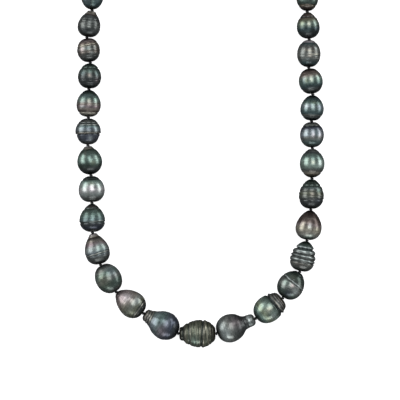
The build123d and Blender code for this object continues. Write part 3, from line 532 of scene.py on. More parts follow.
            ("teal", 0.6, -0.45, 0.12, 0.1, -0.15, 0.25), ("olive", 0.7, 0.25, 0.1, 0.05, -0.3, 0.2),
            ("navy", 0.5, -0.3, 0.2, 0, 0.8, 0.3)),
        caps=((0.8, 0.26),)
    ),
    Pearl(  # Dark green with a brown foot
        0.56, 0.5, 0.005,
        rings=((-0.6, 0.18, 0.05, 0),),
        bands=((-1, "umber", 0.7), (-0.78, "umber", 1.2), (-0.62, "bronze", 1.1), (-0.5, "bottle", 0.9),
            (-0.2, "pine", 1.1), (0.1, "sea", 0.8), (0.6, "pine", 1), (1, "ink", 1)),
        marks=(("umber", 0.7, -0.55, 0.05, 0, 0.1, 0.6), ("ash", 0.5, -0.68, 0.04, 0, 0, 0.7),
            ("mint", 0.4, 0.05, 0.3, 0, -0.5, 0.3), ("bottle", 0.6, 0, 0.4, 0, 0.25, 0.14))
    ),
    Pearl(  # Slate and navy
        0.5, 0.58, 0.005,
        rings=((0.5, 0.08, 0.05, 0.04),),
        bands=((-1, "navy", 1), (-0.4, "slate", 1), (0.1, "steel", 0.9), (0.6, "slate", 0.8),
            (1, "ink", 1.2)),
        marks=(("mauve", 0.5, 0.1, 0.3, 0, -0.4, 0.5), ("silver", 0.35, -0.1, 0.2, 0, 0.4, 0.3))
    ),
    Pearl(  # Silver and milk
        0.5, 0.62, 0.006,
        rings=((0.3, 0.16, 0.05, 0.03), (0.7, 0.1, 0.04, 0)),
        bands=((-1, "ash", 0.8), (-0.4, "silver", 0.7), (0.1, "milk", 0.65), (0.45, "ash", 1),
            (0.7, "taupe", 0.8), (1, "cream", 0.5)),
        marks=(("ink", 0.5, 0.3, 0.035, 0.03), ("mint", 0.4, -0.2, 0.3, 0, -0.4, 0.4))
    ),
    Pearl(  # Peacock
        0.52, 0.52, 0.004,
        rings=((-0.5, 0.08, 0.05, 0.03),),
        bands=((-1, "ink", 1), (-0.4, "peacock", 1), (0.1, "teal", 1.1), (0.6, "peacock", 0.9),
            (1, "ink", 1.2)),
        marks=(("pistachio", 0.4, 0.1, 0.25, 0, 0.3, 0.4), ("steel", 0.5, 0, 0.3, 0, -0.5, 0.4))
    ),
    Pearl(  # Mauve and bronze
        0.5, 0.6, 0.006,
        rings=((-0.4, 0.14, 0.04, 0.04), (0.66, 0.1, 0.04, 0)),
        bands=((-1, "umber", 1), (-0.4, "mauve", 1), (0.1, "rose", 0.8), (0.6, "bronze", 1.1),
            (1, "umber", 1)),
        marks=(("umber", 0.6, -0.4, 0.035, 0.04), ("cream", 0.4, 0.15, 0.2, 0, 0.3, 0.4))
    ),
    Pearl(  # Steel grey
        0.5, 0.54, 0.005,
        rings=((0.1, 0.08, 0.05, -0.05),),
        bands=((-1, "charcoal", 1), (-0.4, "gunmetal", 1), (0.2, "steel", 0.8), (0.6, "gunmetal", 0.9),
            (1, "ink", 1)),
        marks=(("sea", 0.4, 0.1, 0.3, 0, -0.3, 0.4),)
    ),
)


def features(number):
    """The features of a pearl by its number, which runs from the left clasp end to the right."""
    step = number - CENTRE_NUMBER
    if step == 0:
        return CENTRE
    return LEFT[-step - 1] if step < 0 else RIGHT[step - 1]


# ---------------------------------------------------------------- places read from the frame
Lie = namedtuple("Lie", "middle axis side length radius near far")


def joint_point(name):
    """Where a hinge stands, or None if the strand has no such hinge."""
    for joint in frame["joints"]:
        if joint["name"] == name:
            return np.array(joint["pos_m"], dtype=float)
    return None


def node_points(node):
    """A CAD node's vertices as an array."""
    vertices = frame["nodes"][node].data.vertices
    flat = np.empty(len(vertices) * 3)
    vertices.foreach_get("co", flat)
    return flat.reshape(-1, 3)


def unit(vector):
    """The vector at length 1."""
    return vector / np.linalg.norm(vector)


def lie_of(number):
    """How a pearl lies. Its axis is level: from its knot nearer the centre pearl to the one nearer
    the clasp, or to the middle of its vertices where the next joint isn't a knot. Its ends are
    where its vertices begin and end along that axis."""
    points = node_points(f"pearl_{number:02d}")
    low, high = points.min(axis=0), points.max(axis=0)
    height = (low[2] + high[2]) / 2
    left = joint_point(f"knot_{number - 1:02d}_{number:02d}")
    right = joint_point(f"knot_{number:02d}_{number + 1:02d}")
    near, far = (left, right) if number >= CENTRE_NUMBER else (right, left)
    centre = points.mean(axis=0)
    target = centre if far is None else far
    axis = unit((target - near) * (1, 1, 0))
    along = (points - near) @ axis
    start, end = along.min(), along.max()
    origin = np.array((near[0], near[1], height))
    middle = origin + axis * (start + end) / 2
    side = np.cross(axis, UP)
    radius = (high[2] - low[2]) / 2
    return Lie(middle, axis, side, end - start, radius, near, origin + axis * (end + start))


# ---------------------------------------------------------------- meshes from grids
def surface(name, points, material, round_rows=False, **attributes):
    """A mesh from a grid of points (rows, columns, 3). Its columns close on themselves. Its rows
    close too, like a ring's, or each end is closed with a fan to its middle point. Each
    attribute is a grid of colours or vectors of the same rows and columns."""
    rows, columns, _ = points.shape
    index = np.arange(rows * columns).reshape(rows, columns)
    beside = np.roll(index, -1, axis=1)
    if round_rows:
        below, below_beside = np.roll(index, -1, axis=0), np.roll(beside, -1, axis=0)
    else:
        index, beside, below, below_beside = index[:-1], beside[:-1], index[1:], beside[1:]
    faces = np.stack((index, beside, below_beside, below), axis=-1).reshape(-1, 4).tolist()
    flat = points.reshape(-1, 3)
    if not round_rows:
        first, last = rows * columns, rows * columns + 1
        flat = np.vstack((flat, points[0].mean(axis=0), points[-1].mean(axis=0)))
        faces += np.stack((np.full(columns, first), beside[0], index[0]), axis=-1).tolist()
        faces += np.stack((np.full(columns, last), below[-1], below_beside[-1]), axis=-1).tolist()
    mesh = bpy.data.meshes.new(name)
    mesh.from_pydata(flat, [], faces)
    mesh.polygons.foreach_set("use_smooth", np.ones(len(mesh.polygons), dtype=bool))
    for key, values in attributes.items():
        values = values.reshape(rows * columns, -1)
        if not round_rows:
            values = np.vstack((values, values[0], values[-1]))
        store_attribute(mesh, key, values)
    mesh.update()
    obj = bpy.data.objects.new(name, mesh)
    bpy.context.collection.objects.link(obj)
    obj.data.materials.append(material)
    return obj


def store_attribute(mesh, key, values):
    """Puts one colour (four values) or one vector (three) on each vertex."""
    kind, field = ("FLOAT_COLOR", "color") if values.shape[1] == 4 else ("FLOAT_VECTOR", "vector")
    mesh.attributes.new(key, kind, "POINT").data.foreach_set(field, values.ravel())


def tube(centres, normals, tangents, radii, columns):
    """Rings of points about a path: each is its centre, plus its radius times the cosine of the
    angle along the normal and the sine along the binormal, which is tangent cross normal."""
    angles = TURN * np.arange(columns) / columns
    binormals = np.cross(tangents, normals)
    radii = np.broadcast_to(np.asarray(radii, dtype=float), (len(centres), columns))[..., None]
    outward = normals[:, None] * np.cos(angles)[None, :, None]
    outward = outward + binormals[:, None] * np.sin(angles)[None, :, None]
    return centres[:, None] + radii * outward


# ---------------------------------------------------------------- node groups and materials
def new_group(name, inputs, outputs):
    """An empty shader group. inputs give a name, a socket type and a value, outputs the first two."""
    group = bpy.data.node_groups.new(name, "ShaderNodeTree")
    for label, kind, default in inputs:
        socket = group.interface.new_socket(label, in_out="INPUT", socket_type=kind)
        socket.default_value = default
    for label, kind in outputs:
        group.interface.new_socket(label, in_out="OUTPUT", socket_type=kind)
    return group, group.nodes.new("NodeGroupInput"), group.nodes.new("NodeGroupOutput")


def add(tree, kind, **values):
    """A node with its settings, and its inputs' values where the name is an input's."""
    node = tree.nodes.new(kind)
    for key, value in values.items():
        if hasattr(node, key):
            setattr(node, key, value)
        else:
            node.inputs[key.replace("_", " ")].default_value = value
    return node


def ramp(tree, value, low, high, low_value, high_value):
    """A value carried from one range into another, smooth at both ends."""
    node = add(tree, "ShaderNodeMapRange", interpolation_type="SMOOTHSTEP")
    ends = {"From Min": low, "From Max": high, "To Min": low_value, "To Max": high_value}
    for socket, end in ends.items():
        node.inputs[socket].default_value = end
    tree.links.new(value, node.inputs["Value"])
    return node.outputs["Result"]


def math_node(tree, operation, first, second):
    """Two values, each a socket or a number, put through a Math node."""
    node = add(tree, "ShaderNodeMath", operation=operation)
    for socket, value in zip(node.inputs, (first, second)):
        if hasattr(value, "links"):
            tree.links.new(value, socket)
        else:
            socket.default_value = value
    return node.outputs[0]


def stretched(tree, vector, scale):
    """Coordinates scaled along each axis."""
    node = add(tree, "ShaderNodeMapping", Scale=scale)
    tree.links.new(vector, node.inputs["Vector"])
    return node.outputs["Vector"]


def noise(tree, vector, **values):
    """A Noise Texture's value at some coordinates."""
    node = add(tree, "ShaderNodeTexNoise", **values)
    tree.links.new(vector, node.inputs["Vector"])
    return node.outputs["Fac"]


def scaled(tree, colour, factor):
    """A colour made lighter or darker by a value."""
    node = add(tree, "ShaderNodeVectorMath", operation="SCALE")
    tree.links.new(colour, node.inputs[0])
    tree.links.new(factor, node.inputs["Scale"])
    return node.outputs["Vector"]


def nacre_group():
    """Growth of nacre over a pearl's own tones: soft clouds, streaks along the pearl, fine rings
    round it, and small pits. The streaks and rings are noise stretched along and round the
    pearl, by the piece's own 'place' attribute: along it, and the cosine and sine round it."""
    group, given, result = new_group(
        "nacre_growth",
        (("Tone", "NodeSocketColor", (0.1, 0.1, 0.1, 1)), ("Cloud", "NodeSocketFloat", 0.5),
         ("Streak", "NodeSocketFloat", 0.5), ("Ring", "NodeSocketFloat", 0.5),
         ("Polish", "NodeSocketFloat", 0.2)),
        (("Color", "NodeSocketColor"), ("Roughness", "NodeSocketFloat"), ("Height", "NodeSocketFloat")))
    link = group.links.new
    where = add(group, "ShaderNodeTexCoord").outputs["Object"]
    place = add(group, "ShaderNodeAttribute", attribute_name="place").outputs["Vector"]
    cloud = noise(group, where, Scale=420.0, Detail=4.0, Roughness=0.6)
    speck = noise(group, where, Scale=2600.0, Detail=2.0, Roughness=0.6)
    along = stretched(group, place, (1.2, 1.9, 1.9))
    streak = noise(group, along, Scale=2.2, Detail=4.0, Roughness=0.65, Distortion=0.4)
    across = stretched(group, place, (14.0, 0.7, 0.7))
    ring = noise(group, across, Scale=1.6, Detail=5.0, Roughness=0.6, Distortion=0.3)
    swings = []
    for pattern, amount in ((cloud, "Cloud"), (streak, "Streak"), (ring, "Ring")):
        swing = ramp(group, pattern, 0.32, 0.68, -1.0, 1.0)
        swings.append(math_node(group, "MULTIPLY", swing, given.outputs[amount]))
    factor = math_node(group, "ADD", math_node(group, "ADD", swings[0], swings[1]), swings[2])
    grain = ramp(group, speck, 0.25, 0.75, 0.93, 1.07)
    light = math_node(group, "MULTIPLY", math_node(group, "POWER", 2.0, factor), grain)
    link(scaled(group, given.outputs["Tone"], light), result.inputs["Color"])
    rough = ramp(group, cloud, 0.3, 0.7, 0.85, 1.25)
    link(math_node(group, "MULTIPLY", rough, given.outputs["Polish"]), result.inputs["Roughness"])
    pit = add(group, "ShaderNodeTexVoronoi", Scale=900.0)
    link(where, pit.inputs["Vector"])
    dimple = ramp(group, pit.outputs["Distance"], 0.0, 0.10, -0.25, 0.0)
    height = math_node(group, "ADD", ring, math_node(group, "MULTIPLY", speck, 0.12))
    link(math_node(group, "ADD", height, dimple), result.inputs["Height"])
    return group


def scuff_group():
    """Fine wear on metal: long thin scratches and soft clouds, both from noise on Object
    coordinates, the scratches from noise stretched one way."""
    group, given, result = new_group(
        "metal_wear",
        (("Tone", "NodeSocketColor", (0.8, 0.8, 0.8, 1)), ("Polish", "NodeSocketFloat", 0.15)),
        (("Color", "NodeSocketColor"), ("Roughness", "NodeSocketFloat"), ("Height", "NodeSocketFloat")))
    link = group.links.new
    where = add(group, "ShaderNodeTexCoord").outputs["Object"]
    cloud = noise(group, where, Scale=500.0, Detail=4.0)
    scratch = noise(group, stretched(group, where, (900.0, 9000.0, 4000.0)), Scale=1.0, Detail=3.0)
    dull = ramp(group, cloud, 0.35, 0.75, 1.0, 0.82)
    link(scaled(group, given.outputs["Tone"], dull), result.inputs["Color"])
    rough = ramp(group, cloud, 0.3, 0.7, 0.8, 1.7)
    link(math_node(group, "MULTIPLY", rough, given.outputs["Polish"]), result.inputs["Roughness"])
    link(scratch, result.inputs["Height"])
    return group


def fibre_group():
    """Silk filaments: noise stretched along the strand by the piece's own 'place' attribute."""
    group, given, result = new_group(
        "silk_fibre", (("Tone", "NodeSocketColor", (0.01, 0.01, 0.01, 1)),),
        (("Color", "NodeSocketColor"), ("Height", "NodeSocketFloat")))
    link = group.links.new
    place = add(group, "ShaderNodeAttribute", attribute_name="place").outputs["Vector"]
    fibre = noise(group, stretched(group, place, (1.5, 9.0, 9.0)), Scale=2.0, Detail=3.0)
    lift = ramp(group, fibre, 0.3, 0.75, 0.6, 2.2)
    link(scaled(group, given.outputs["Tone"], lift), result.inputs["Color"])
    link(fibre, result.inputs["Height"])
    return group


def shared(name, maker):
    """The group of that name, made the first time that it is asked for."""
    return bpy.data.node_groups.get(name) or maker()


def material_with(name, group, values, bump, bump_distance, **sockets):
    """A material whose Principled shader takes Base Color, Roughness and a bump from a group.
    Returns the material, its group node and its shader."""
    material = bpy.data.materials.new(name)
    material.use_nodes = True
    tree = material.node_tree
    shader = tree.nodes["Principled BSDF"]
    for key, value in sockets.items():
        shader.inputs[key.replace("_", " ")].default_value = value
    node = add(tree, "ShaderNodeGroup", node_tree=group)
    for key, value in values.items():
        node.inputs[key].default_value = value
    tree.links.new(node.outputs["Color"], shader.inputs["Base Color"])
    if "Roughness" in node.outputs:
        tree.links.new(node.outputs["Roughness"], shader.inputs["Roughness"])
    relief = add(tree, "ShaderNodeBump", Strength=bump, Distance=bump_distance)
    tree.links.new(node.outputs["Height"], relief.inputs["Height"])
    tree.links.new(relief.outputs["Normal"], shader.inputs["Normal"])
    return material, node, shader


# Each finish has the dark tint of its painted rim shade, which comes in towards the rim, how much clouds, streaks
# and rings lighten and darken the pearl's tone, and its roughness.
Finish = namedtuple("Finish", "overtone cloud streak ring polish")
FINISHES = {
    "pearl_teal": Finish((0.03, 0.06, 0.07), 0.30, 0.25, 0.35, 0.26),
    "pearl_green": Finish((0.025, 0.05, 0.04), 0.35, 0.20, 0.45, 0.26),
    "pearl_silver": Finish((0.14, 0.17, 0.17), 0.22, 0.20, 0.20, 0.25),
    "pearl_grey": Finish((0.045, 0.05, 0.05), 0.35, 0.20, 0.45, 0.27),
    "pearl_mauve": Finish((0.06, 0.045, 0.045), 0.35, 0.22, 0.35, 0.26),
    "pearl_slate": Finish((0.035, 0.04, 0.06), 0.30, 0.20, 0.40, 0.26),
    "pearl_olive": Finish((0.045, 0.045, 0.03), 0.30, 0.20, 0.45, 0.26),
}


def nacre_material(tint):
    """Lustrous nacre: the pearl's tones through the growth group, with painted shade towards the rim, where the
    Layer Weight's facing mixes in a dark tint, part metallic so that it mirrors in its own colour, under a thin
    clear coat."""
    name = f"nacre_{tint}"
    found = bpy.data.materials.get(name)
    if found:
        return found
    finish = FINISHES[tint]
    values = {
        "Cloud": finish.cloud, "Streak": finish.streak, "Ring": finish.ring, "Polish": finish.polish}
    material, node, shader = material_with(
        name, shared("nacre_growth", nacre_group), values, 0.55, 0.03 * MM,
        Metallic=0.62, Coat_Weight=0.15, Coat_Roughness=0.16, Coat_IOR=1.5)
    tree = material.node_tree
    colour = add(tree, "ShaderNodeAttribute", attribute_name="nacre_tone")
    tree.links.new(colour.outputs["Color"], node.inputs["Tone"])
    # Painted shade at the rim: the Layer Weight's facing mixes the base colour towards each finish's dark tint.
    facing = add(tree, "ShaderNodeLayerWeight", Blend=0.35)
    rim = ramp(tree, facing.outputs["Facing"], 0.25, 1.0, 0.0, 0.75)
    mix = add(tree, "ShaderNodeMix", data_type="RGBA")
    tree.links.new(rim, mix.inputs["Factor"])
    colours = [socket for socket in mix.inputs if socket.type == "RGBA"]
    tree.links.new(node.outputs["Color"], colours[0])
    colours[1].default_value = (*finish.overtone, 1)
    result = [socket for socket in mix.outputs if socket.type == "RGBA"][0]
    tree.links.new(result, shader.inputs["Base Color"])
    return material


def silk_material():
    """Black silk: dark filaments with a soft sheen."""
    name = "twisted_silk"
    found = bpy.data.materials.get(name)
    if found:
        return found
    values = {"Tone": (0.005, 0.005, 0.006, 1)}
    return material_with(
        name, shared("silk_fibre", fibre_group), values, 0.6, 0.02 * MM,
        Roughness=0.6, Sheen_Weight=0.08, Sheen_Roughness=0.4)[0]


Metal = namedtuple("Metal", "name tone polish")
METALS = {
    "silver": Metal("polished_silver", (0.68, 0.67, 0.65), 0.18),
    "gimp_wire": Metal("coiled_wire", (0.62, 0.61, 0.58), 0.24),
    "spring_steel": Metal("leaf_spring_steel", (0.45, 0.46, 0.47), 0.28),
}


def metal_material(slot):
    """Worn bright metal, by its slot."""
    metal = METALS[slot]
    found = bpy.data.materials.get(metal.name)
    if found:
        return found
    values = {"Tone": (*metal.tone, 1), "Polish": metal.polish}
    return material_with(
        metal.name, shared("metal_wear", scuff_group), values, 0.06, 0.01 * MM, Metallic=1.0)[0]


# ---------------------------------------------------------------- pearls
RIM_WIDTH = 0.15 * MM       # flat ring round the mouth of the drill hole
BORE_PLAY = 0.1 * MM        # between the thread and the drill hole's wall
LINE_GAIN = 1.3             # how much stronger the ring lines are than their table says
# Painted shade at both ends of a pearl, where the knots sit at the drill holes, set by the four values below.
END_SHADE = 0.17            # how far the dark at a drill hole spreads, as a share of half a pearl
NEAR_SHADE = 0.85           # how deep that dark is, at the near end,
FAR_SHADE = 0.75            # at the far end,
CAP_SHADE = 0.45            # and at the far end of a pearl that has a cap there
CAP_LEAD = 0.5              # how far before its start a cap fades in, as a share of its length
CAP_BLEND = 10              # power of the mean that joins a cap to the pearl: more is sharper
RING_SWAY = 0.012           # how far a ring wanders along the pearl, as a share of half a pearl
BAND_SWAY = 0.03            # how far the edge of a band does
STEP_TURNS = (38, 61)       # the two trains of growth steps, in radians for half a pearl,
STEP_SHARES = (1.0, 0.7)    # and how high each is
STEP_SWAY = 0.02            # how far a step wanders along the pearl, as a share of half a pearl
GATHER_TURNS = 3.1          # the slow swell that gathers the steps, in radians for half a pearl
ROLL_ORDERS = (1, 2, 3)     # waves round a pearl that its slow roll is made of
ROLL_PEAK = 1.8             # the roll's waves all at their highest together
RING_FADE = 1.5             # how fast rings and steps come in from the drill holes


def outline(pearl, place, radius, rim):
    """The radius at each place along a pearl, before its rings: two power curves, one from each
    end, that meet at the widest place, standing on the rim round the drill hole. A cap is a blunt
    fourth-power stub, joined to it by a power mean."""
    near, far = pearl.near_end, pearl.far_end
    widest = (near - far) / (near + far)
    share = ((1 + place) / (1 + widest)) ** near * ((1 - place) / (1 - widest)) ** far
    for start, size in pearl.caps:
        along = np.clip((place - start) / (math.copysign(1, start) - start), -CAP_LEAD, 1)
        stub = size * np.sqrt(1 - np.maximum(along, 0) ** 4) * (1 + np.minimum(along, 0) / CAP_LEAD)
        share = (share ** CAP_BLEND + stub ** CAP_BLEND) ** (1 / CAP_BLEND)
    return share, rim + (radius - rim) * share


def wobble(random, place, angle):
    """A slow random roll over the surface, from -1 to 1: a sum of waves of low order round the
    pearl, each with its own phase, that drifts along it."""
    total = np.zeros(np.broadcast(place, angle).shape)
    for order in ROLL_ORDERS:
        phase = random.uniform(0, TURN)
        drift = random.uniform(1.0, 3.0)
        size = random.uniform(0.4, 1.0)
        total = total + size / order * np.sin(order * angle + drift * place + phase)
    return total / ROLL_PEAK


def ring_place(place, angle, tilt, sway):
    """Distance from a ring whose place along the pearl tilts with the sine round it and sways."""
    return place - tilt * np.sin(angle) - RING_SWAY * sway


def relief(pearl, place, angle, share, random, lump):
    """What a pearl's surface adds to its outline, in metres: its rings, each a bell across its
    place, its fine growth steps, which are waves along it, and its slow roll. All of it fades
    towards the drill holes."""
    sway = wobble(random, place, angle)
    fade = np.minimum(1.0, share * RING_FADE)
    total = lump * wobble(random, place, angle) * np.minimum(1.0, share ** 2)
    for at, depth, spread, tilt in pearl.rings:
        offset = ring_place(place, angle, tilt, sway) - at
        total = total - depth * MM * np.exp(-((offset / spread) ** 2)) * fade
    coarse, fine = STEP_TURNS
    steps = STEP_SHARES[0] * np.sin(coarse * (place + STEP_SWAY * sway))
    steps = steps + STEP_SHARES[1] * np.sin(fine * (place - STEP_SWAY * sway) + 1.0)
    gather = 0.5 + 0.5 * np.sin(GATHER_TURNS * place + random.uniform(0, TURN))
    return total + pearl.terrace * MM * steps * gather * fade


def band_colours(pearl, place, angle, random, palette):
    """The tone at each point: the bands mixed along the pearl with a swaying edge, then each mark laid over them
    with its strength times a bell across its place, and a bell across its side where it is a patch. Many patches
    are painted light: pale highlights and dark reflection streaks at fixed sides as seen from above. Both ends get
    painted shade by a bell, where the knots sit at the drill holes, and a capped far end gets less."""
    sway = wobble(random, place, angle)
    where = place + BAND_SWAY * sway
    stops = [at for at, _, _ in pearl.bands]
    stop_colours = np.array([palette[name] * level for _, name, level in pearl.bands])
    colour = np.stack([np.interp(where, stops, stop_colours[:, part]) for part in range(3)], axis=-1)
    for mark_or_painted_light in pearl.marks:
        name, strength, at, spread, tilt = mark_or_painted_light[:5]
        amount = min(1, strength * LINE_GAIN) if len(mark_or_painted_light) == 5 else strength
        amount = amount * np.exp(-((ring_place(place, angle, tilt, sway) - at) / spread) ** 2)
        # Patches: many are painted light, pale highlights and dark reflection streaks at a fixed side as seen from
        # above; the rest are the pearl's own blushes.
        if len(mark_or_painted_light) > 5:
            turned = np.angle(np.exp(1j * (angle - math.asin(mark_or_painted_light[5]))))
            amount = amount * np.exp(-((turned / mark_or_painted_light[6]) ** 2))
        colour = colour + amount[..., None] * (palette[name] - colour)
    # Painted shade at both ends, where the knots sit at the drill holes, less at a capped far end.
    capped = any(start > 0 for start, _ in pearl.caps)
    depth = np.where(place < 0, NEAR_SHADE, CAP_SHADE if capped else FAR_SHADE)
    return colour * (1 - depth * np.exp(-(((1 - np.abs(place)) / END_SHADE) ** 2)))[..., None]


def make_pearl(number):
    """A pearl as a closed ring of rows: along its outside from the near rim to the far rim, and
    back through the drilled bore. Each point is the middle, plus its place along the axis, plus
    its radius times the cosine of the angle upwards and the sine sideways."""
    sizes = bpy.context.scene.strand_sizes
    lie, pearl = lie_of(number), features(number)
    random = np.random.default_rng(number)
    bore = sizes.thread / 2 + BORE_PLAY
    rim = bore + RIM_WIDTH
    steps = sizes.along_steps
    place = -np.cos(math.pi * np.arange(steps + 1) / steps)[:, None]
    angle = (TURN * np.arange(sizes.round_steps) / sizes.round_steps)[None, :]
    share, radius = outline(pearl, place, lie.radius, rim)
    radius = radius + relief(pearl, place, angle, share, random, sizes.lump)
    radius = np.maximum(radius, rim)
    colours = band_colours(pearl, place + 0 * angle, angle + 0 * place, random, tones())
    back = np.array((1.0, -1.0))[:, None]
    place = np.vstack((place, back))
    radius = np.vstack((radius, np.full((2, sizes.round_steps), bore)))
    colours = np.vstack((colours, colours[[-1]], colours[[0]]))
    across = UP * np.cos(angle)[..., None] + lie.side * np.sin(angle)[..., None]
    points = lie.middle + lie.axis * (place * lie.length / 2)[..., None] + radius[..., None] * across
    rgba = np.concatenate((colours, np.ones(colours.shape[:2] + (1,))), axis=-1)
    full_place = np.broadcast_to(place, radius.shape)
    circle = np.broadcast_to(angle, radius.shape)
    spot = np.stack((full_place, np.cos(circle), np.sin(circle) + number), axis=-1)
    node = f"pearl_{number:02d}"
    tint = slot_of(node)
    name = f"nacre_{number:02d}"
    obj = surface(name, points, nacre_material(tint), True, nacre_tone=rgba, place=spot)
    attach(obj, node)
    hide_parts(node)


def slot_of(node):
    """The record's material slot of a node."""
    for part in frame["record"]["subparts"]:
        if part["node"] == node:
            return part["material_slot"]
    raise RuntimeError(f"no sub-part {node}")


# ---------------------------------------------------------------- silk
PLY_SHARE = 0.16            # how deep the twist of the plies is cut, as a share of the thread
PLY_COUNT = 3
RUN_GRID = 64, 18           # rows along and columns round the thread through a pearl
KNOT_GRID = 72, 10
KNOT_LENGTH = 9 * MM        # of the strand in a knot
KNOT_DEPTH = 0.12 * MM      # how far a knot's strand goes in and out along the thread
LEG_GRID = 10, 12
LEG_RADIUS = 0.22 * MM      # of the single thread in each leg of the gimp


def silk_place(rows, columns, length):
    """The 'place' attribute of a strand: millimetres along it, and the cosine and sine round it."""
    along = np.linspace(0, length / MM, rows)[:, None] + np.zeros((1, columns))
    angle = (TURN * np.arange(columns) / columns)[None, :] + np.zeros((rows, 1))
    return np.stack((along, np.cos(angle), np.sin(angle)), axis=-1)


def make_silk_run(number):
    """The thread through one pearl, from the middle of one knot to the middle of the next. Its
    radius is cut by the absolute sine of the angle round it, which turns along it."""
    sizes = bpy.context.scene.strand_sizes
    lie = lie_of(number)
    start = np.array((lie.near[0], lie.near[1], lie.middle[2]))
    length = np.linalg.norm(lie.far - start)
    rows, columns = RUN_GRID
    along = np.linspace(0, length, rows)
    centres = start + lie.axis * along[:, None]
    angle = TURN * np.arange(columns) / columns
    twist = TURN * along[:, None] / sizes.thread_turn
    cut = 1 - PLY_SHARE * (1 - np.abs(np.sin((PLY_COUNT * angle[None] + twist) / 2)))
    normals = np.tile(UP, (rows, 1))
    tangents = np.tile(lie.axis, (rows, 1))
    points = tube(centres, normals, tangents, sizes.thread / 2 * cut, columns)
    place = silk_place(rows, columns, length)
    obj = surface(f"silk_run_{number:02d}", points, silk_material(), place=place)
    dress_silk(obj, f"pearl_{number:02d}")


def dress_silk(obj, body):
    """Puts a piece of the thread on its body."""
    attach(obj, body)
    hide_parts("silk_thread")


def make_knot(name, point, axis, body):
    """An overhand knot pulled tight: a tube along a trefoil, which goes round three times a turn
    at twice the pace across the thread, and in and out three times along it."""
    sizes = bpy.context.scene.strand_sizes
    rows, columns = KNOT_GRID
    t = TURN * np.arange(rows) / rows
    strand = sizes.knot_strand / 2
    spread = (sizes.knot / 2 - strand) / 3
    side = np.cross(axis, UP)

    def trefoil(sideways, upwards, along):
        """Offsets from the knot's middle, or their rates of change."""
        across = spread * (side * sideways[:, None] + UP * upwards[:, None])
        return across + KNOT_DEPTH * axis * along[:, None]

    centres = point + trefoil(
        np.sin(t) + 2 * np.sin(2 * t), np.cos(t) - 2 * np.cos(2 * t), -np.sin(3 * t))
    speed = trefoil(
        np.cos(t) + 4 * np.cos(2 * t), 4 * np.sin(2 * t) - np.sin(t), -3 * np.cos(3 * t))
    pull = trefoil(
        -np.sin(t) - 8 * np.sin(2 * t), 8 * np.cos(2 * t) - np.cos(t), 9 * np.sin(3 * t))
    tangents = speed / np.linalg.norm(speed, axis=1)[:, None]
    bend = np.cross(speed, pull)
    binormals = bend / np.linalg.norm(bend, axis=1)[:, None]
    points = tube(centres, np.cross(binormals, tangents), tangents, strand, columns)
    place = silk_place(rows, columns, KNOT_LENGTH)
    obj = surface(name, points, silk_material(), True, place=place)
    dress_silk(obj, body)


def make_knots():
    """One knot half way between each two pearls, on the one nearer the centre, and one at each
    end of the strand."""
    lies = {number: lie_of(number) for number in range(1, PEARL_COUNT + 1)}
    for number in range(1, PEARL_COUNT):
        point = joint_point(f"knot_{number:02d}_{number + 1:02d}")
        inner = number + 1 if number < CENTRE_NUMBER else number
        same_way = -1 if number == CENTRE_NUMBER - 1 else 1
        axis = unit(lies[number].axis + lies[number + 1].axis * same_way)
        make_knot(f"knot_{number:02d}_{number + 1:02d}", point, axis, f"pearl_{inner:02d}")
    for number in (1, PEARL_COUNT):
        make_knot(f"end_knot_{number:02d}", lies[number].far, lies[number].axis, f"pearl_{number:02d}")


# ---------------------------------------------------------------- gimp, rings and clasp
SIDES = {"left": 1, "right": PEARL_COUNT}   # each side's last pearl
GIMP_LEG_ROWS = 150
GIMP_BEND_ROWS = 220
GIMP_COLUMNS = 16
COIL_DEPTH = 0.07           # of the gimp's coils, as a share of its radius
RING_GRID = 96, 24
JOINT_TURN = math.radians(60)   # from the strand up to a jump ring's open joint


def gimp_path(side):
    """The gimp loop's centre line, worked out from its CAD node: two straight legs that spread
    from the end knot, and the bend round the jump ring between them, as a row of points. Also
    returns the line's directions, its normal, the wire's radius and the knot."""
    knot = lie_of(SIDES[side]).far
    bend = joint_point(f"{side}_jump_ring_swing")
    points = node_points(f"{side}_gimp_loop")
    ahead = unit(bend - knot)
    away = unit(np.cross(UP, ahead))
    normal = np.cross(ahead, away)
    wire = np.ptp((points - knot) @ normal) / 2
    radius = np.ptp((points - knot) @ away) / 2 - wire
    along = (points - knot) @ ahead
    reach = along.max() - wire - radius
    spread = math.asin(radius / reach)
    leg = reach * math.cos(spread)
    turn = math.pi / 2 + spread
    out = np.linspace(along.min() / math.cos(spread), leg, GIMP_LEG_ROWS, endpoint=False)
    sweep = np.linspace(turn, -turn, GIMP_BEND_ROWS)
    upper = np.stack((out * math.cos(spread), out * math.sin(spread)), axis=-1)
    arc = np.stack((reach + radius * np.cos(sweep), radius * np.sin(sweep)), axis=-1)
    flat = np.vstack((upper, arc, upper[::-1] * (1, -1)))
    line = knot + ahead * flat[:, :1] + away * flat[:, 1:]
    speed = np.gradient(line, axis=0)
    tangents = speed / np.linalg.norm(speed, axis=1)[:, None]
    return line, tangents, normal, wire, knot


def make_gimp(side):
    """French wire: a tube along the loop whose radius rises and falls once for each coil."""
    sizes = bpy.context.scene.strand_sizes
    node = f"{side}_gimp_loop"
    line, tangents, normal, wire, knot = gimp_path(side)
    length = np.concatenate(([0.0], np.cumsum(np.linalg.norm(np.diff(line, axis=0), axis=1))))
    angle = TURN * np.arange(GIMP_COLUMNS) / GIMP_COLUMNS
    coil = TURN * length[:, None] / sizes.gimp_pitch + angle[None]
    radii = wire * (1 - COIL_DEPTH + COIL_DEPTH * np.cos(coil))
    normals = np.tile(normal, (len(line), 1))
    points = tube(line, normals, tangents, radii, GIMP_COLUMNS)
    obj = surface(node + "_coil", points, metal_material("gimp_wire"))
    body = f"pearl_{SIDES[side]:02d}"
    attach(obj, body)
    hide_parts(node)
    for leg, end in (("upper", line[0]), ("lower", line[-1])):
        make_silk_leg(f"silk_{leg}_{side}", knot, end, body)


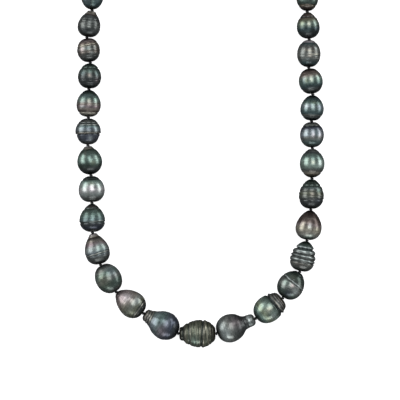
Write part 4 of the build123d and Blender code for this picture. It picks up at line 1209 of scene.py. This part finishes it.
def make_silk_leg(name, start, end, body):
    """The thread from the end knot into a leg of the gimp: a straight run."""
    rows, columns = LEG_GRID
    share = np.linspace(0, 1, rows)[:, None]
    centres = start + (end - start) * share
    ahead = unit(end - start)
    normal = unit(np.cross(ahead, np.cross(UP, ahead)))
    normals, tangents = np.tile(normal, (rows, 1)), np.tile(ahead, (rows, 1))
    points = tube(centres, normals, tangents, LEG_RADIUS, columns)
    place = silk_place(rows, columns, np.linalg.norm(end - start))
    obj = surface(name, points, silk_material(), place=place)
    dress_silk(obj, body)


def make_jump_ring(side):
    """A ring of round wire with a fine open joint: a tube along a circle, less the joint. The
    ring's plane is upright, along the widest spread of its CAD node's vertices over the floor."""
    sizes = bpy.context.scene.strand_sizes
    node = f"{side}_jump_ring"
    points = node_points(node)
    middle = (points.max(axis=0) + points.min(axis=0)) / 2
    flat = (points - middle) * (1, 1, 0)
    _, _, directions = np.linalg.svd(flat, full_matrices=False)
    ahead = directions[0] * np.sign(directions[0] @ (middle - lie_of(SIDES[side]).far) or 1)
    across = unit(np.cross(UP, ahead))
    wire = np.ptp(flat @ across) / 2
    radius = np.ptp(points[:, 2]) / 2 - wire
    gap = sizes.ring_joint / radius / 2
    rows, columns = RING_GRID
    turn = np.linspace(gap, TURN - gap, rows) + JOINT_TURN
    outward = ahead * np.cos(turn)[:, None] + UP * np.sin(turn)[:, None]
    tangents = UP * np.cos(turn)[:, None] - ahead * np.sin(turn)[:, None]
    points = tube(middle + radius * outward, outward, tangents, wire, columns)
    obj = surface(node + "_wire", points, metal_material("silver"))
    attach(obj, node)
    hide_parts(node)


# The castings: CAD node, body, slot, how far the edges are rolled over in mm, and name.
CASTINGS = (
    ("lobster_body", "lobster", "silver", 0.05, "lobster_casting"),
    ("lobster_lever", "lobster_lever", "silver", 0.12, "lobster_gate"),
    ("lobster_pin", "lobster", "silver", 0.08, "lobster_rivet"),
    ("lobster_spring", "lobster", "spring_steel", 0.03, "lobster_leaf"),
    ("catch_ring", "catch_ring", "silver", 0.05, "catch_figure_eight"),
)
MERGE_DISTANCE = 0.001 * MM
ROLLED_ANGLE = math.radians(40)     # edges sharper than this are rolled over,
SHARP_ANGLE = math.radians(35)      # and sharper than this still show as edges
ROLLED_SEGMENTS = 3


def polish_casting(node, body, slot, rolled, name):
    """A cast piece: the CAD shape with its doubles merged and its sharp edges rolled over."""
    mesh = frame["nodes"][node].data.copy()
    obj = bpy.data.objects.new(name, mesh)
    bpy.context.collection.objects.link(obj)
    obj.data.materials.clear()
    obj.data.materials.append(metal_material(slot))
    weld = obj.modifiers.new("weld", "WELD")
    weld.merge_threshold = MERGE_DISTANCE
    round_edges = obj.modifiers.new("round", "BEVEL")
    round_edges.width = rolled * MM
    round_edges.segments = ROLLED_SEGMENTS
    round_edges.limit_method = "ANGLE"
    round_edges.angle_limit = ROLLED_ANGLE
    evaluated = obj.evaluated_get(bpy.context.evaluated_depsgraph_get())
    finished = bpy.data.meshes.new_from_object(evaluated)
    obj.modifiers.clear()
    obj.data = finished
    finished.polygons.foreach_set("use_smooth", np.ones(len(finished.polygons), dtype=bool))
    finished.set_sharp_from_angle(angle=SHARP_ANGLE)
    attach(obj, body)
    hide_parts(node)


# ---------------------------------------------------------------- stage
# The light panels: where each stands from the middle of the view, its width and its length.
PANELS = {
    "left": ((-0.62, 0.20, 0.30), 0.50, 0.72),
    "top": ((0.12, 0.34, 0.95), 0.54, 0.95),
    "right": ((0.66, 0.20, 0.16), 0.28, 0.72),
    "front": ((0.04, -0.74, 0.22), 0.60, 0.30),
}
FLOOR_HALF = 2.0            # half the floor's side
FLOOR_ROUGHNESS = 0.6
MIRRORED_FLOOR = (0.10, 0.10, 0.10, 1)      # the floor as the pearls mirror it
MIRRORED_ROOM = (0.92, 0.96, 1.0, 1)        # the room as they do
SEEN_ROOM = (0.93, 0.94, 0.95, 1)           # the room behind the floor, as the camera sees it
SEEN_ROOM_STRENGTH = 0.9
CLIP_START = 0.01


def add_panel(side, centre_y, power):
    """A soft white light panel that faces the middle of the view, with its length along Y."""
    offset, width, length = PANELS[side]
    name = f"{side}_panel"
    data = bpy.data.lights.new(name, "AREA")
    data.shape = "RECTANGLE"
    data.size = width
    data.size_y = length
    data.energy = power
    panel = bpy.data.objects.new(name, data)
    bpy.context.collection.objects.link(panel)
    target = np.array((0.0, centre_y, 0.0))
    place = target + offset
    facing = unit(place - target)
    side = unit(np.cross((0.0, 1.0, 0.0), facing))
    upward = np.cross(facing, side)
    rows = [(side[row], upward[row], facing[row], place[row]) for row in range(3)]
    panel.matrix_world = Matrix((*rows, (0, 0, 0, 1)))
    panel.visible_camera = False


def floor_material(settings):
    """A pale floor. The camera sees it lit and faintly glowing; the pearls mirror it much darker,
    as they do in a light tent whose floor is a sheet of clear acrylic."""
    material = bpy.data.materials.new("pale_floor")
    material.use_nodes = True
    tree = material.node_tree
    shader = tree.nodes["Principled BSDF"]
    shader.inputs["Roughness"].default_value = FLOOR_ROUGHNESS
    shader.inputs["Base Color"].default_value = (*linear(settings.floor), 1)
    shader.inputs["Emission Color"].default_value = (1, 1, 1, 1)
    shader.inputs["Emission Strength"].default_value = settings.floor_glow
    dark = add(tree, "ShaderNodeBsdfDiffuse", Color=MIRRORED_FLOOR)
    rays = add(tree, "ShaderNodeLightPath")
    mix = add(tree, "ShaderNodeMixShader")
    output = tree.nodes["Material Output"]
    tree.links.new(rays.outputs["Is Camera Ray"], mix.inputs[0])
    tree.links.new(dark.outputs[0], mix.inputs[1])
    tree.links.new(shader.outputs[0], mix.inputs[2])
    tree.links.new(mix.outputs[0], output.inputs["Surface"])
    return material


def make_world(settings):
    """A dim room for the pearls to mirror, and a pale one behind the floor for the camera."""
    world = bpy.data.worlds.new("tent")
    bpy.context.scene.world = world
    world.use_nodes = True
    tree = world.node_tree
    background = tree.nodes["Background"]
    background.inputs["Color"].default_value = MIRRORED_ROOM
    background.inputs["Strength"].default_value = settings.room_light
    pale = add(tree, "ShaderNodeBackground", Color=SEEN_ROOM, Strength=SEEN_ROOM_STRENGTH)
    rays = add(tree, "ShaderNodeLightPath")
    mix = add(tree, "ShaderNodeMixShader")
    tree.links.new(rays.outputs["Is Camera Ray"], mix.inputs[0])
    tree.links.new(background.outputs[0], mix.inputs[1])
    tree.links.new(pale.outputs[0], mix.inputs[2])
    tree.links.new(mix.outputs[0], tree.nodes["World Output"].inputs["Surface"])


def make_camera(settings, centre_x, centre_y):
    """A camera straight above the view's middle, as wide as the view."""
    data = bpy.data.cameras.new("camera")
    data.lens = data.sensor_width * settings.camera_height / settings.view_width
    data.clip_start = CLIP_START
    camera = bpy.data.objects.new("camera", data)
    camera.location = (centre_x, centre_y, settings.camera_height)
    bpy.context.collection.objects.link(camera)
    bpy.context.scene.camera = camera


def make_floor(settings):
    """One flat square on the floor's level."""
    half = FLOOR_HALF
    corners = [(-half, -half, 0), (half, -half, 0), (half, half, 0), (-half, half, 0)]
    mesh = bpy.data.meshes.new("floor")
    mesh.from_pydata(corners, [], [(0, 1, 2, 3)])
    mesh.materials.append(floor_material(settings))
    floor = bpy.data.objects.new("floor", mesh)
    bpy.context.collection.objects.link(floor)


# ---------------------------------------------------------------- operators
class STRAND_OT_stage(bpy.types.Operator):
    """Sets up the camera, the floor, the room and the light panels"""
    bl_idname = "strand.stage"
    bl_label = "Stage"

    def execute(self, context):
        settings = context.scene.strand_stage
        low, high = (np.array(corner) for corner in CAD_BOX)
        centre_x = (low[0] + high[0]) / 2
        centre_y = low[1] - settings.view_margin + settings.view_width / 2
        make_camera(settings, centre_x, centre_y)
        context.scene.view_settings.view_transform = "Standard"
        make_world(settings)
        make_floor(settings)
        for side in PANELS:
            add_panel(side, centre_y, getattr(settings, f"{side}_light"))
        return {"FINISHED"}


class STRAND_OT_pearls(bpy.types.Operator):
    """Makes the thirty-seven nacre pearls over their frame pieces"""
    bl_idname = "strand.pearls"
    bl_label = "Pearls"

    def execute(self, context):
        for number in range(1, PEARL_COUNT + 1):
            make_pearl(number)
        return {"FINISHED"}


class STRAND_OT_silk(bpy.types.Operator):
    """Makes the twisted silk through each pearl and the knots between them"""
    bl_idname = "strand.silk"
    bl_label = "Silk and knots"

    def execute(self, context):
        for number in range(1, PEARL_COUNT + 1):
            make_silk_run(number)
        make_knots()
        return {"FINISHED"}


class STRAND_OT_wire(bpy.types.Operator):
    """Makes the gimp loops and the jump rings at both ends"""
    bl_idname = "strand.wire"
    bl_label = "Gimp and jump rings"

    def execute(self, context):
        for side in SIDES:
            make_gimp(side)
            make_jump_ring(side)
        return {"FINISHED"}


class STRAND_OT_clasp(bpy.types.Operator):
    """Finishes the lobster clasp and the catch ring"""
    bl_idname = "strand.clasp"
    bl_label = "Clasp"

    def execute(self, context):
        for casting in CASTINGS:
            polish_casting(*casting)
        return {"FINISHED"}


class STRAND_PT_panel(bpy.types.Panel):
    """Lists the strand's settings and its pieces"""
    bl_idname = "STRAND_PT_panel"
    bl_label = "Pearl Strand"
    bl_space_type = "VIEW_3D"
    bl_region_type = "UI"
    bl_category = "Pearl Strand"

    def draw(self, context):
        for group in (context.scene.strand_sizes, context.scene.strand_tones, context.scene.strand_stage):
            box = self.layout.box()
            for name in group.__annotations__:
                box.prop(group, name)
        for operator in OPERATORS:
            self.layout.operator(operator.bl_idname)


GROUPS = {"strand_tones": NacreTones, "strand_sizes": StrandSizes, "strand_stage": StageSettings}
OPERATORS = (STRAND_OT_stage, STRAND_OT_pearls, STRAND_OT_silk, STRAND_OT_wire, STRAND_OT_clasp)


def register():
    """Registers the settings, the operators and the panel."""
    for group in GROUPS.values():
        bpy.utils.register_class(group)
    for name, group in GROUPS.items():
        setattr(bpy.types.Scene, name, PointerProperty(type=group))
    for operator in OPERATORS:
        bpy.utils.register_class(operator)
    bpy.utils.register_class(STRAND_PT_panel)


def unregister():
    """Takes them away again, last first."""
    bpy.utils.unregister_class(STRAND_PT_panel)
    for operator in reversed(OPERATORS):
        bpy.utils.unregister_class(operator)
    for name in GROUPS:
        delattr(bpy.types.Scene, name)
    for group in reversed(GROUPS.values()):
        bpy.utils.unregister_class(group)


def main():
    """Builds the stage and every piece."""
    register()
    bpy.ops.strand.stage()
    bpy.ops.strand.pearls()
    bpy.ops.strand.silk()
    bpy.ops.strand.wire()
    bpy.ops.strand.clasp()


if __name__ == "__main__":
    main()
